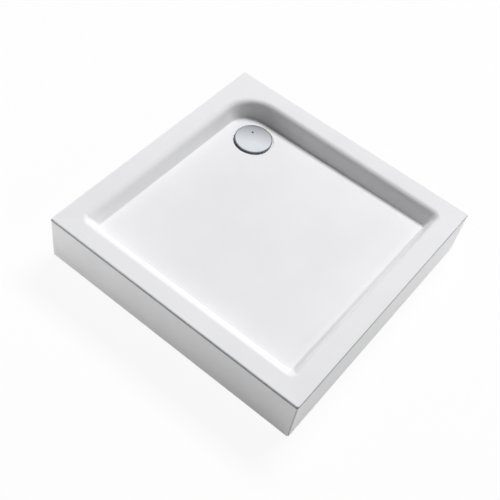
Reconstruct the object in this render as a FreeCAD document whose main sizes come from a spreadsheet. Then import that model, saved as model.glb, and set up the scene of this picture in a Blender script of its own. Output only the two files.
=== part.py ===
# Square shower tray with two apron panels, a 90 mm drain trap and a levelling leg set.
# The origin is the centre of the footprint on the floor: +Z up, -Y towards the front
# panel, +X towards the side panel. The left and back edges stand against walls.
import FreeCAD, Part
import math
import os
import re
import Sketcher

ORIGIN_POINT = -1
TOLERANCE = 0.01

doc = FreeCAD.newDocument("shower_tray")
sheet = doc.addObject("Spreadsheet::Sheet", "Sizes")

# Driving dimensions in millimetres and degrees.
SIZES = [
    # the moulded shell
    ("tray_side", 800, "outside length of each side"),
    ("tray_height", 155, "floor to top of rim"),
    ("edge_band", 5.5, "height of the visible rim edge"),
    ("rim_sheet", 5, "thickness of the rim sheet"),
    ("rim_width", 58, "outer edge to the well"),
    ("edge_rounding", 2, "rounding of the top outer edge"),
    ("outer_corner", 7, "plan radius of the outer corners"),
    ("skirt_setback", 7, "visible edge to the skirt behind it"),
    ("skirt_depth", 22, "skirt below the visible edge"),
    ("skirt_wall", 4, "thickness of the skirt"),
    ("well_run", 28, "plan width of the well wall at the front and back"),
    ("well_side_run", 22, "plan width of the well wall at the sides"),
    ("well_depth", 43, "rim top to floor at the centre"),
    ("floor_angle", 1.25, "fall of the floor to the drain corner"),
    ("well_corner", 18, "plan radius of three well corners"),
    ("drain_corner", 105, "plan radius of the well at the drain"),
    ("floor_corner", 12, "plan radius of three floor corners"),
    ("floor_drain_corner", 62, "plan radius of the floor at the drain"),
    ("rim_rounding", 19, "rounding from rim to well wall"),
    ("floor_rounding", 5, "rounding from well wall to floor"),
    ("shell_wall", 3.5, "plan thickness of the shell wall"),
    ("shell_floor", 5, "thickness of the shell floor"),
    ("backing_wall", 1.5, "plan thickness of the glass-fibre wall"),
    ("backing_floor", 2.5, "thickness of the glass-fibre floor"),
    # the base under the floor
    ("board_side", 570, "side of the square base board"),
    ("board_thickness", 12, "thickness of the base board"),
    ("foam_least", 2, "least thickness of the levelling foam"),
    ("notch_side_room", 71, "drain to the right side of the board's notch"),
    ("notch_front_room", 78, "drain to the front side of the board's notch"),
    ("notch_rounding", 12, "radius inside the notch"),
    # the leg set
    ("rail_height", 28, "height of a leg rail"),
    ("rail_wall", 1.5, "sheet thickness of rails and brackets"),
    ("rail_channel", 28, "inside width of a leg rail"),
    ("rail_flange", 12, "width of each rail flange"),
    ("rail_length", 540, "length of the two long rails"),
    ("short_rail_length", 145, "length of the short rail"),
    ("left_rail_x", -95, "middle of the left rail"),
    ("right_rail_x", 200, "middle of the right rail"),
    ("short_rail_x", -208, "middle of the short rail"),
    ("foot_inset", 30, "end of a long rail to its foot"),
    ("short_foot_inset", 25.5, "outer end of the short rail to its foot"),
    ("rod_radius", 5, "radius of the threaded rod"),
    ("thread_play", 0.05, "play between rod and nut"),
    ("rod_hole_play", 0.5, "play between rod and rail"),
    ("rod_spare", 14, "rail underside to top of rod"),
    ("nut_flats", 17, "width across the flats of a nut"),
    ("nut_height", 8, "height of a nut"),
    ("pad_radius", 23, "radius of the foot pad"),
    ("pad_rim", 4, "height of the pad's edge"),
    ("pad_height", 15, "height of the pad"),
    ("pad_neck", 10, "radius of the pad's neck"),
    ("pad_collar", 3, "height of the pad's neck"),
    ("pad_ribs", 8, "number of ribs on the pad"),
    ("pad_rib_thickness", 2, "thickness of the pad's ribs"),
    ("pad_rib_rise", 2, "outer end of a rib above the pad's edge"),
    ("pad_rib_inset", 1.5, "pad's edge to its ribs"),
    ("pad_socket_floor", 5, "thickness under the rod"),
    ("rod_seat_play", 0.1, "play between rod and pad"),
    ("spanner_flats", 13, "width across the rod's spanner hexagon"),
    ("spanner_height", 7, "height of the spanner hexagon"),
    ("foot_clear", 0.3, "gap between pad and spanner hexagon"),
    ("screw_head_radius", 4, "radius of a screw head"),
    ("screw_head_height", 2.2, "height of a screw head"),
    ("screw_radius", 2, "radius of a screw's shank"),
    ("screw_length", 9, "length of a screw in the board"),
    ("screw_play", 0.2, "play between screw and sheet"),
    ("screw_inset", 15, "rail end to its screws"),
    # the apron panels
    ("panel_wall", 4, "thickness of an apron panel"),
    ("panel_inset", 0.5, "rim edge to the panel's face"),
    ("shadow_gap", 4, "rim edge to the top of a panel"),
    ("floor_gap", 3, "floor to the bottom of a panel"),
    ("panel_return", 20, "depth of the panel's returned edges"),
    ("panel_rounding", 1.5, "rounding of the panel's outer edges"),
    ("mitre_gap", 0.6, "open joint at the panel corner"),
    ("running_gap", 0.3, "gap between pieces that part"),
    ("strip_leg", 38, "leg of the corner strip"),
    ("strip_wall", 2.5, "thickness of the corner strip"),
    ("strip_margin", 6, "corner strip short of its neighbours"),
    ("tape_height", 13, "height of the foam tape"),
    ("tape_length", 700, "length of the foam tape"),
    ("bracket_width", 30, "width of a panel bracket"),
    ("bracket_foot", 27, "bracket flange under the board"),
    ("bracket_reach", 15, "board edge to the bracket's leg"),
    ("front_bracket_spread", 255, "front brackets from the middle"),
    ("side_bracket_spread", 180, "side brackets from the middle"),
    ("blade_level", 14, "floor to the bracket's blade"),
    ("blade_end", 12, "panel face to the end of the blade"),
    ("clip_width", 26, "width of a panel clip"),
    ("clip_depth", 17, "depth of a panel clip"),
    ("clip_jaw", 3.5, "thickness of the clip's upper jaw"),
    # the drain trap
    ("drain_from_left", 172, "left edge to the drain"),
    ("drain_from_back", 165, "back edge to the drain"),
    ("hole_radius", 45, "radius of the drain hole"),
    ("seat_radius", 60, "radius of the level seat"),
    ("seat_drop", 1.6, "floor to the level seat at the middle"),
    ("clamp_grip", 8, "seat to clamping face"),
    ("boss_radius", 64, "radius of the clamping face"),
    ("gasket_outer", 58, "outer radius of the lower gasket"),
    ("gasket_thickness", 2, "thickness of the lower gasket"),
    ("seal_outer", 52, "outer radius of the upper seal"),
    ("seal_thickness", 1, "thickness of the upper seal"),
    ("collar_wall", 3.9, "wall of the clamping collar"),
    ("collar_plate", 2, "thickness of the collar's plate"),
    ("collar_depth", 22, "seat to the collar's lower end"),
    ("collar_ledge", 4, "width of the ledge inside the collar"),
    ("ledge_level", 4, "seat down to the ledge"),
    ("ledge_thickness", 2, "thickness of the ledge"),
    ("neck_radius", 42, "inner radius of the trap's neck"),
    ("neck_wall", 4, "wall of the trap's neck"),
    ("flange_thickness", 3, "thickness of the trap's flange"),
    ("head_ribs", 8, "number of ribs under the flange"),
    ("head_rib_height", 11, "height of the ribs under the flange"),
    ("head_rib_thickness", 2, "thickness of the ribs under the flange"),
    ("head_rib_inset", 1.5, "flange edge to the ribs"),
    ("pot_radius", 55, "outer radius of the trap's pot"),
    ("pot_wall", 2.5, "wall of the trap's pot"),
    ("pot_floor_gap", 6, "floor to the underside of the pot"),
    ("pot_height", 59.25, "height of the trap's pot"),
    ("shoulder_height", 7, "height of the pot's shoulder"),
    ("pot_foot_rounding", 4, "radius of the pot's lower edge"),
    ("spigot_depth", 5, "depth of the head's spigot in the pot"),
    ("spigot_wall", 1.5, "wall of the head's spigot"),
    ("weir_radius", 38, "outer radius of the weir"),
    ("weir_wall", 2, "wall of the weir"),
    ("weir_foot", 4, "width of the weir's foot ring"),
    ("weir_foot_height", 2, "height of the weir's foot ring"),
    ("water_seal", 50, "height of water held in the trap"),
    ("tube_radius", 26, "outer radius of the dip tube"),
    ("tube_wall", 2, "wall of the dip tube"),
    ("tube_floor_gap", 7, "pot floor to the end of the dip tube"),
    ("tube_lip", 2.5, "thickness of the dip tube's lip"),
    ("tube_lip_seat", 3, "width of the lip's level top"),
    ("ring_height", 1.4, "height of the dip tube's sealing ring"),
    ("ring_width", 1.1, "width of the dip tube's sealing ring"),
    ("ring_play", 0.1, "play between sealing ring and collar"),
    # the outlet
    ("outlet_level", 38, "floor to the middle of the outlet"),
    ("outlet_bore", 18, "inner radius of the outlet"),
    ("outlet_reach", 84, "drain to the middle of the ball"),
    ("ball_radius", 26, "radius of the outlet's ball"),
    ("cup_wall", 3, "wall of the ball's cup"),
    ("stub_radius", 23, "outer radius of the pot's outlet stub"),
    ("ring_seat", 3, "length of the outlet's sealing ring"),
    ("nut_wall", 3, "wall of the union nut"),
    ("nut_hold", 10, "ball's middle to the nut's mouth"),
    ("nut_grip", 13, "length of nut over the cup"),
    ("grip_ribs", 12, "number of grip ribs on the nut"),
    ("grip_rib", 1.4, "height of the nut's grip ribs"),
    ("grip_rib_width", 4, "width of the nut's grip ribs"),
    ("pipe_radius", 20, "outer radius of the outlet pipe"),
    ("pipe_wall", 2, "wall of the outlet pipe"),
    ("pipe_length", 76, "ball's middle to the end of the pipe"),
    ("stop_collar", 3, "height and width of the pipe's stop"),
    ("pipe_insert", 50, "length of pipe for the push-fit socket"),
    # the drain cover
    ("cover_radius", 56, "radius of the drain cover"),
    ("cover_sheet", 1.5, "thickness of the drain cover"),
    ("cover_gap", 5, "seat to the edge of the cover"),
    ("cover_edge", 3, "height of the cover's turned edge"),
    ("cover_crown", 3, "rise of the cover to its middle"),
    ("cover_rounding", 2.5, "rounding of the cover's edge"),
    ("cover_hole", 2, "radius of the lifting hole"),
    ("cover_hole_offset", 24, "middle of the cover to the hole"),
    ("carrier_fin", 2, "thickness of the carrier's fins"),
    ("carrier_depth", 18, "carrier below the dip tube's ledge"),
    ("carrier_play", 0.5, "play between carrier and dip tube"),
    ("carrier_reach", 36, "middle of the carrier to a fin's tip"),
    ("carrier_ring_wall", 3, "wall of the carrier's ring"),
]

for row, (alias, size, meaning) in enumerate(SIZES, 1):
    sheet.set(f"A{row}", meaning)
    sheet.set(f"B{row}", str(size))
    sheet.setAlias(f"B{row}", alias)
doc.recompute()

ALIAS = re.compile(r"\b(" + "|".join(alias for alias, *_ in SIZES) + r")\b")


def bound(formula):
    """The formula with each size's name led back to the sheet."""
    return ALIAS.sub(r"Sizes.\1", formula)


def amount(formula):
    """The formula's present value."""
    return float(sheet.evalExpression(ALIAS.sub(r"\1", formula)))


# Places worked out from the driving dimensions, as formulas.
HALF = "tray_side / 2"
DRAIN_X = "(drain_from_left - tray_side / 2)"
DRAIN_Y = "(tray_side / 2 - drain_from_back)"
WELL_TOP = "(tray_side / 2 - rim_width)"
WELL_FLOOR = "(tray_side / 2 - rim_width - well_run)"
WELL_FLOOR_SIDE = "(tray_side / 2 - rim_width - well_side_run)"
FLOOR_LEVEL = "(tray_height - well_depth)"
RIM_UNDER = "(tray_height - rim_sheet)"
SKIRT_OUT = "(tray_side / 2 - skirt_setback)"
BAND_UNDER = "(tray_height - edge_band)"
FLOOR_SLOPE = "(tan(floor_angle) / sqrt(2))"
SEAT = f"({FLOOR_LEVEL} + {FLOOR_SLOPE} * ({DRAIN_X} - {DRAIN_Y}) - seat_drop)"
BACKING_UNDER = f"({FLOOR_LEVEL} - shell_floor - backing_floor)"
BOARD_HALF = "board_side / 2"
NOTCH_X = f"({DRAIN_X} + notch_side_room)"
NOTCH_Y = f"({DRAIN_Y} - notch_front_room)"
BOARD_TOP = f"({BACKING_UNDER} - {FLOOR_SLOPE} * board_side - foam_least)"
BOARD_UNDER = f"({BOARD_TOP} - board_thickness)"
RAIL_UNDER = f"({BOARD_UNDER} - rail_height)"
PANEL_FACE = "(tray_side / 2 - panel_inset)"
PANEL_BACK = "(tray_side / 2 - panel_inset - panel_wall)"
PANEL_TOP = "(tray_height - edge_band - shadow_gap)"
FOOT_ROOM = f"({BAND_UNDER} - skirt_depth)"
CLAMP = f"({SEAT} - clamp_grip)"
FLANGE_TOP = f"({CLAMP} - gasket_thickness)"
FLANGE_UNDER = f"({FLANGE_TOP} - flange_thickness)"
SHOULDER = "(pot_floor_gap + pot_height)"
NECK_END = f"({SHOULDER} + shoulder_height)"
POT_FLOOR = "(pot_floor_gap + pot_wall)"
POT_BORE = "(pot_radius - pot_wall)"
TUBE_END = f"({POT_FLOOR} + tube_floor_gap)"
WEIR_TOP = f"({TUBE_END} + water_seal)"
COLLAR_BORE = "(neck_radius - collar_wall)"
LEDGE = f"({SEAT} - ledge_level)"
TUBE_BORE = "(tube_radius - tube_wall)"
TUBE_LIP_RADIUS = f"({COLLAR_BORE} - ring_play - ring_width)"
CUP_BORE = "(ball_radius + running_gap)"
CUP_OUT = f"({CUP_BORE} + cup_wall)"
BALL_X = f"({DRAIN_X} - outlet_reach)"
COVER_EDGE = f"({SEAT} + cover_gap)"
COVER_SIDE = f"({COVER_EDGE} + cover_edge)"
COVER_TOP = f"({COVER_SIDE} + cover_crown)"
COVER_BEND = "((cover_radius ^ 2 + cover_crown ^ 2) / cover_crown / 2)"
FOOT_Y = "(rail_length / 2 - foot_inset)"
SHORT_FOOT = "-(short_rail_length / 2 - short_foot_inset)"
FEET = [
    ("left_front", "left_rail_x", f"-{FOOT_Y}"),
    ("left_back", "left_rail_x", FOOT_Y),
    ("right_front", "right_rail_x", f"-{FOOT_Y}"),
    ("right_back", "right_rail_x", FOOT_Y),
    ("side", f"(short_rail_x + {SHORT_FOOT})", "0"),
]
FLANGE_MIDDLE = "(rail_channel / 2 + rail_wall + rail_flange / 2)"
LONG_RAIL_SCREW = "(rail_length / 2 - screw_inset)"
SHORT_RAIL_SCREW = "(short_rail_length / 2 - screw_inset)"
LONG_RAIL_SCREWS = [
    (f"{side}{FLANGE_MIDDLE}", f"{end} {LONG_RAIL_SCREW}")
    for side in ("", "-")
    for end in ("-1 *", "0 *", "1 *")
]
SHORT_RAIL_SCREWS = [
    (f"{end} {SHORT_RAIL_SCREW}", f"{side}{FLANGE_MIDDLE}")
    for side in ("", "-")
    for end in ("-1 *", "1 *")
]


def bracket_screws(spread):
    """The two screws of each bracket of a front panel."""
    row = f"-({BOARD_HALF} - bracket_foot / 2)"
    return [
        (f"{side} {spread} + {place} bracket_width / 4", row)
        for side in ("-1 *", "1 *")
        for place in ("-1 *", "1 *")
    ]


def shifted(places, x, y):
    """The places seen from the tray's middle, for a piece that stands at (x, y)."""
    return [(f"{x} + {dx}", f"{y} + {dy}") for dx, dy in places]


def quarter_turned(places):
    """The places after a quarter turn from the front to the side of the tray."""
    return [(f"-({y})", x) for x, y in places]


RAIL_SCREWS = shifted(LONG_RAIL_SCREWS, "left_rail_x", "0")
RAIL_SCREWS += shifted(LONG_RAIL_SCREWS, "right_rail_x", "0")
RAIL_SCREWS += shifted(SHORT_RAIL_SCREWS, "short_rail_x", "0")
PANEL_SCREWS = bracket_screws("front_bracket_spread")
PANEL_SCREWS += quarter_turned(bracket_screws("side_bracket_spread"))


def origin_plane(body, role):
    for feature in body.Origin.OriginFeatures:
        if feature.Role == role:
            return feature
    raise LookupError(role)


def new_body(label, x="0", y="0", z="0", turn=0):
    body = doc.addObject("PartDesign::Body", label)
    body.Label = label
    body.AllowCompound = True
    body.Placement = FreeCAD.Placement(FreeCAD.Vector(), FreeCAD.Rotation(turn, 0, 0))
    for axis, formula in zip("xyz", (x, y, z)):
        if formula != "0":
            body.setExpression(f"Placement.Base.{axis}", bound(formula))
    return body


def new_sketch(body, name, role="XY_Plane", lift="0", rise="0"):
    """A sketch on one of the body's own planes, lifted off it or raised within it."""
    sketch = body.newObject("Sketcher::SketchObject", f"{body.Label}_{name}")
    sketch.AttachmentSupport = [(origin_plane(body, role), "")]
    sketch.MapMode = "FlatFace"
    if lift != "0":
        sketch.setExpression("AttachmentOffset.Base.z", bound(lift))
    if rise != "0":
        sketch.setExpression("AttachmentOffset.Base.y", bound(rise))
    return sketch


def tilt(sketch):
    """Turns the sketch so that its plane falls towards the drain corner."""
    axis = FreeCAD.Vector(-1, -1, 0)
    level = sketch.AttachmentOffset.Base
    sketch.AttachmentOffset = FreeCAD.Placement(level, FreeCAD.Rotation(axis, amount("floor_angle")))
    sketch.setExpression("AttachmentOffset.Rotation.Angle", bound("floor_angle * 1deg"))


def drive(sketch, kind, *where, formula):
    """A dimension tied to a formula."""
    index = sketch.addConstraint(Sketcher.Constraint(kind, *where, amount(formula)))
    sketch.renameConstraint(index, f"size{index}")
    sketch.setExpression(f"Constraints.size{index}", bound(formula))


def hold(sketch, geometry, end, x, y, only=""):
    """Fixes one point of the geometry at (x, y) from the sketch's origin."""
    for axis, formula in (("x", x), ("y", y)):
        if only and axis != only:
            continue
        if formula == "0":
            # the sketch's own lines are number -1 along X and number -2 along Y
            own_line = -2 if axis == "x" else -1
            on_line = Sketcher.Constraint("PointOnObject", geometry, end, own_line)
            sketch.addConstraint(on_line)
        else:
            kind = f"Distance{axis.upper()}"
            drive(sketch, kind, ORIGIN_POINT, 1, geometry, end, formula=formula)


def vector(x, y):
    return FreeCAD.Vector(amount(x), amount(y), 0)


def outline(sketch, points, arcs=None):
    """A closed run of lines through the points, with arcs where a centre is given.

    An arc's entry holds its centre, its sense of turning and the one direction in which
    its far end is held, because the circle itself settles the other.
    """
    arcs = arcs or {}
    runs = []
    for number, (start, end) in enumerate(zip(points, points[1:] + points[:1])):
        first, last = vector(*start), vector(*end)
        if number in arcs:
            centre, clockwise, _ = arcs[number]
            middle = vector(*centre)
            circle_under = Part.Circle(middle, FreeCAD.Vector(0, 0, 1), (first - middle).Length)
            begin, finish = (last, first) if clockwise else (first, last)
            angles = [math.atan2(point.y - middle.y, point.x - middle.x) for point in (begin, finish)]
            run = sketch.addGeometry(Part.ArcOfCircle(circle_under, *angles))
            runs.append((run, 2, 1) if clockwise else (run, 1, 2))
            hold(sketch, run, 3, *centre)
        else:
            run = sketch.addGeometry(Part.LineSegment(first, last))
            runs.append((run, 1, 2))
    for (run, _, end), (following, start, _) in zip(runs, runs[1:] + runs[:1]):
        sketch.addConstraint(Sketcher.Constraint("Coincident", run, end, following, start))
    for number, ((run, start, _), point) in enumerate(zip(runs, points)):
        only = arcs[number - 1][2] if number - 1 in arcs else ""
        hold(sketch, run, start, *point, only=only)


def box_outline(sketch, left, right, low, high):
    outline(sketch, [(left, low), (right, low), (right, high), (left, high)])


def circle(sketch, x, y, radius):
    index = sketch.addGeometry(Part.Circle(vector(x, y), FreeCAD.Vector(0, 0, 1), amount(radius)))
    hold(sketch, index, 3, x, y)
    drive(sketch, "Radius", index, formula=radius)


def hexagon(sketch, x, y, flats):
    """A hexagon with two flats square to the sketch's X axis."""
    apothem = f"{flats} / 2"
    half_side = f"{flats} / 2 / sqrt(3)"
    tip = f"{flats} / sqrt(3)"
    corners = [(apothem, f"-{half_side}"), (apothem, half_side), ("0", tip)]
    corners += [(f"-{apothem}", half_side), (f"-{apothem}", f"-{half_side}"), ("0", f"-{tip}")]
    outline(sketch, [(f"({x}) + ({dx})", f"({y}) + ({dy})") for dx, dy in corners])


def rounded_square(sketch, half, radii, across=None):
    """A centred square with corner radii from the front right corner, anticlockwise.

    With another half width across, it becomes an oblong along X.
    """
    signs = [(1, -1), (1, 1), (-1, 1), (-1, -1)]
    across = across or half
    reach_x, reach_y = amount(across), amount(half)
    turns = []
    for (sx, sy), radius, number in zip(signs, radii, range(4)):
        bend = amount(radius)
        centre = FreeCAD.Vector(sx * (reach_x - bend), sy * (reach_y - bend), 0)
        start = math.radians(90 * (number - 1))
        arc = Part.Circle(centre, FreeCAD.Vector(0, 0, 1), bend)
        turns.append(sketch.addGeometry(Part.ArcOfCircle(arc, start, start + math.pi / 2)))
    sides = []
    for turn, following in zip(turns, turns[1:] + turns[:1]):
        start = sketch.getPoint(turn, 2)
        end = sketch.getPoint(following, 1)
        sides.append(sketch.addGeometry(Part.LineSegment(start, end)))
    for turn, side, following in zip(turns, sides, turns[1:] + turns[:1]):
        sketch.addConstraint(Sketcher.Constraint("Tangent", turn, 2, side, 1))
        sketch.addConstraint(Sketcher.Constraint("Tangent", side, 2, following, 1))
    right, back, left, front = sides
    for side in (right, left):
        sketch.addConstraint(Sketcher.Constraint("Vertical", side))
    for side in (back, front):
        sketch.addConstraint(Sketcher.Constraint("Horizontal", side))
    drive(sketch, "DistanceX", ORIGIN_POINT, 1, right, 1, formula=across)
    drive(sketch, "DistanceX", ORIGIN_POINT, 1, left, 1, formula=f"-({across})")
    drive(sketch, "DistanceY", ORIGIN_POINT, 1, back, 1, formula=half)
    drive(sketch, "DistanceY", ORIGIN_POINT, 1, front, 1, formula=f"-({half})")
    for turn, radius in zip(turns, radii):
        drive(sketch, "Radius", turn, formula=radius)


def feature(body, kind, name, sketch):
    made = body.newObject(f"PartDesign::{kind}", f"{body.Label}_{name}")
    made.Profile = sketch
    return made


def pad(body, sketch, name, length, down=False):
    made = feature(body, "Pad", name, sketch)
    made.setExpression("Length", bound(length))
    made.Reversed = down
    return made


def centred_pad(body, sketch, name, length):
    made = pad(body, sketch, name, length)
    made.Midplane = True
    return made


def pocket(body, sketch, name, length=None, up=False):
    """Cuts below the sketch, or above it; without a length, right through."""
    made = feature(body, "Pocket", name, sketch)
    if length is None:
        made.Type = "ThroughAll"
    else:
        made.setExpression("Length", bound(length))
    made.Reversed = up
    return made


def through_pocket(body, sketch, name):
    made = feature(body, "Pocket", name, sketch)
    made.Type = "ThroughAll"
    made.Midplane = True
    return made


def turned(body, sketch, name, kind="Revolution", axis="V_Axis"):
    made = feature(body, kind, name, sketch)
    made.ReferenceAxis = (sketch, [axis])
    made.Angle = 360
    return made


def all_round(body, first, name, axis, count):
    """Repeats a feature all round one of the body's own axes."""
    doc.recompute()
    made = body.newObject("PartDesign::PolarPattern", f"{body.Label}_{name}")
    made.Originals = [first]
    made.Axis = (origin_plane(body, axis), [""])
    made.Angle = 360
    made.setExpression("Occurrences", bound(count))
    body.Tip = made
    return made


def loft(body, name, kind, sketches):
    made = feature(body, kind, name, sketches[0])
    made.Sections = sketches[1:]
    made.Ruled = True
    return made


def rounding(body, base, name, radius, wanted):
    """Rounds the edges of the base that the test picks."""
    doc.recompute()
    chosen = []
    for number, edge in enumerate(base.Shape.Edges, 1):
        if wanted(edge):
            chosen.append(f"Edge{number}")
    made = body.newObject("PartDesign::Fillet", f"{body.Label}_{name}")
    made.Base = (base, chosen)
    made.setExpression("Radius", bound(radius))
    return made


def along_level(level):
    """A test for edges that lie at one height."""
    height = amount(level)

    def wanted(edge):
        box = edge.BoundBox
        return abs(box.ZMin - height) < TOLERANCE and abs(box.ZMax - height) < TOLERANCE

    return wanted


# --- the moulded shell ------------------------------------------------------------------


def well_radii(grow):
    """Corner radii of the well's top: front right, back right, drain, front left."""
    radii = ["well_corner", "well_corner", "drain_corner", "well_corner"]
    return [f"{radius} + {grow}" for radius in radii]


def floor_radii(grow):
    radii = ["floor_corner", "floor_corner", "floor_drain_corner", "floor_corner"]
    return [f"{radius} + {grow}" for radius in radii]


def tub_sections(body, name, top, wall, floor):
    """The outline of the tub at its top, and on the plane that falls to the drain."""
    upper = new_sketch(body, f"{name}_top", lift=top)
    rounded_square(upper, f"{WELL_TOP} + {wall}", well_radii(wall))
    lower = new_sketch(body, f"{name}_floor", lift=f"{FLOOR_LEVEL} - ({floor})")
    tilt(lower)
    rounded_square(lower, f"{WELL_FLOOR} + {wall}", floor_radii(wall), f"{WELL_FLOOR_SIDE} + {wall}")
    return [upper, lower]


def make_tray_shell():
    body = new_body("tray_shell")
    same_corner = ["outer_corner"] * 4

    rim = new_sketch(body, "rim_outline", lift=RIM_UNDER)
    rounded_square(rim, HALF, same_corner)
    pad(body, rim, "rim", "rim_sheet")

    band = new_sketch(body, "band_outline", lift=BAND_UNDER)
    rounded_square(band, HALF, same_corner)
    rounded_square(band, f"{SKIRT_OUT} - skirt_wall", ["outer_corner / 2"] * 4)
    pad(body, band, "band", "edge_band - rim_sheet")

    skirt = new_sketch(body, "skirt_outline", lift=BAND_UNDER)
    rounded_square(skirt, SKIRT_OUT, same_corner)
    rounded_square(skirt, f"{SKIRT_OUT} - skirt_wall", ["outer_corner / 2"] * 4)
    pad(body, skirt, "skirt", "skirt_depth", down=True)

    outside = tub_sections(body, "tub", RIM_UNDER, "shell_wall", "shell_floor")
    loft(body, "tub", "AdditiveLoft", outside)

    inside = tub_sections(body, "well", "tray_height", "0", "0")
    well = loft(body, "well", "SubtractiveLoft", inside)

    rounded = rounding(body, well, "rim_rounding", "rim_rounding", rim_edge(False))
    floor_test = on_floor_outline()
    creased = rounding(body, rounded, "floor_rounding", "floor_rounding", floor_test)
    rounding(body, creased, "edge_rounding", "edge_rounding", rim_edge(True))

    seat = new_sketch(body, "seat", lift=SEAT)
    circle(seat, DRAIN_X, DRAIN_Y, "seat_radius")
    pocket(body, seat, "seat_pocket", "well_depth", up=True)
    hole = new_sketch(body, "hole", lift=SEAT)
    circle(hole, DRAIN_X, DRAIN_Y, "hole_radius")
    through_pocket(body, hole, "hole_pocket")
    return body


def floor_height(x, y):
    """Height of the well's floor above the ground at a place."""
    return amount(FLOOR_LEVEL) + amount(FLOOR_SLOPE) * (x - y)


def on_floor_outline():
    """A test for the inner edges where the well's wall meets its floor."""

    def wanted(edge):
        for vertex in edge.Vertexes:
            if abs(vertex.Z - floor_height(vertex.X, vertex.Y)) > 0.05:
                return False
        return True

    return wanted


def rim_edge(outer):
    """A test for the rim's top edges, round its outside or round the mouth of the well."""
    level = along_level("tray_height")
    middle_of_rim = amount(HALF) - amount("rim_width") / 2

    def wanted(edge):
        middle = edge.CenterOfMass
        outside = max(abs(middle.x), abs(middle.y)) > middle_of_rim
        return level(edge) and outside == outer

    return wanted


def make_backing():
    body = new_body("glass_fibre_backing")
    outer_wall = "shell_wall + backing_wall"
    outside = tub_sections(body, "outside", RIM_UNDER, outer_wall, "shell_floor + backing_floor")
    loft(body, "skin", "AdditiveLoft", outside)
    boss = new_sketch(body, "boss", lift=f"{SEAT} - clamp_grip")
    circle(boss, DRAIN_X, DRAIN_Y, "boss_radius")
    pad(body, boss, "boss_pad", "clamp_grip")
    inside = tub_sections(body, "inside", RIM_UNDER, "shell_wall", "shell_floor")
    loft(body, "hollow", "SubtractiveLoft", inside)
    hole = new_sketch(body, "hole", lift=SEAT)
    circle(hole, DRAIN_X, DRAIN_Y, "hole_radius")
    through_pocket(body, hole, "hole_pocket")
    return body


def board_outline(sketch):
    """The board's square with a rounded notch at the drain corner."""
    half = BOARD_HALF
    outline(sketch, [
        (f"-{half}", f"-{half}"),
        (half, f"-{half}"),
        (half, half),
        (NOTCH_X, half),
        (NOTCH_X, NOTCH_Y),
        (f"-{half}", NOTCH_Y),
    ])


def notch_corner():
    """A test for the upright edge inside the notch."""
    corner = vector(NOTCH_X, NOTCH_Y)

    def wanted(edge):
        middle = edge.CenterOfMass
        return abs(middle.x - corner.x) < TOLERANCE and abs(middle.y - corner.y) < TOLERANCE

    return wanted


def make_foam_bed():
    body = new_body("foam_bed")
    base = new_sketch(body, "outline", lift=BOARD_TOP)
    board_outline(base)
    block = pad(body, base, "block", "well_depth")
    rounding(body, block, "notch_rounding", "notch_rounding", notch_corner())
    fall = new_sketch(body, "fall", lift=BACKING_UNDER)
    tilt(fall)
    box_outline(fall, "-board_side", "board_side", "-board_side", "board_side")
    pocket(body, fall, "fall_cut", "well_depth * 2", up=True)
    return body


def make_base_board():
    body = new_body("base_board")
    base = new_sketch(body, "outline", lift=BOARD_UNDER)
    board_outline(base)
    board = pad(body, base, "board", "board_thickness")
    rounding(body, board, "notch_rounding", "notch_rounding", notch_corner())
    pilots = new_sketch(body, "pilot_holes", lift=BOARD_UNDER)
    for x, y in RAIL_SCREWS + PANEL_SCREWS:
        circle(pilots, x, y, "screw_radius")
    pocket(body, pilots, "pilot_pocket", "screw_length", up=True)
    return body


# --- the leg set --------------------------------------------------------------------------


def make_rail(label, x, length, along, holes, screws):
    """A folded hat-section rail; its feet stand in the holes of the lower web."""
    body = new_body(label, x, z=RAIL_UNDER)
    role = "XZ_Plane" if along == "y" else "YZ_Plane"
    section = new_sketch(body, "section", role)
    inner = "rail_channel / 2"
    outer = f"{inner} + rail_wall"
    tip = f"{outer} + rail_flange"
    top = "rail_height"
    under = "rail_height - rail_wall"
    outline(section, [
        (f"-({outer})", "0"),
        (outer, "0"),
        (outer, under),
        (tip, under),
        (tip, top),
        (inner, top),
        (inner, "rail_wall"),
        (f"-{inner}", "rail_wall"),
        (f"-{inner}", top),
        (f"-({tip})", top),
        (f"-({tip})", under),
        (f"-({outer})", under),
    ])
    centred_pad(body, section, "rail", length)
    rods = new_sketch(body, "rod_holes")
    for hole_x, hole_y in holes:
        circle(rods, hole_x, hole_y, "rod_radius + rod_hole_play")
    pocket(body, rods, "rod_hole_pocket", "rail_wall", up=True)
    fixings = new_sketch(body, "screw_holes", lift=under)
    for hole_x, hole_y in screws:
        circle(fixings, hole_x, hole_y, "screw_radius + screw_play")
    pocket(body, fixings, "screw_hole_pocket", "rail_wall", up=True)
    return body


def make_nuts(label, under):
    """One hexagon nut at each foot, as a group."""
    body = new_body(label, z=under)
    plan = new_sketch(body, "plan")
    for name, x, y in FEET:
        hexagon(plan, x, y, "nut_flats")
        circle(plan, x, y, "rod_radius + thread_play")
    pad(body, plan, "nuts", "nut_height")
    return body


def make_rod(name, x, y):
    """A threaded rod with a spanner hexagon just above its pad."""
    body = new_body(f"threaded_rod_{name}", x, y)
    foot = new_sketch(body, "shank", lift="pad_socket_floor + foot_clear")
    circle(foot, "0", "0", "rod_radius")
    top = f"{RAIL_UNDER} + rod_spare"
    pad(body, foot, "rod", f"{top} - pad_socket_floor - foot_clear")
    grip = new_sketch(body, "spanner", lift="pad_height + foot_clear")
    hexagon(grip, "0", "0", "spanner_flats")
    pad(body, grip, "spanner_hexagon", "spanner_height")
    return body


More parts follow.
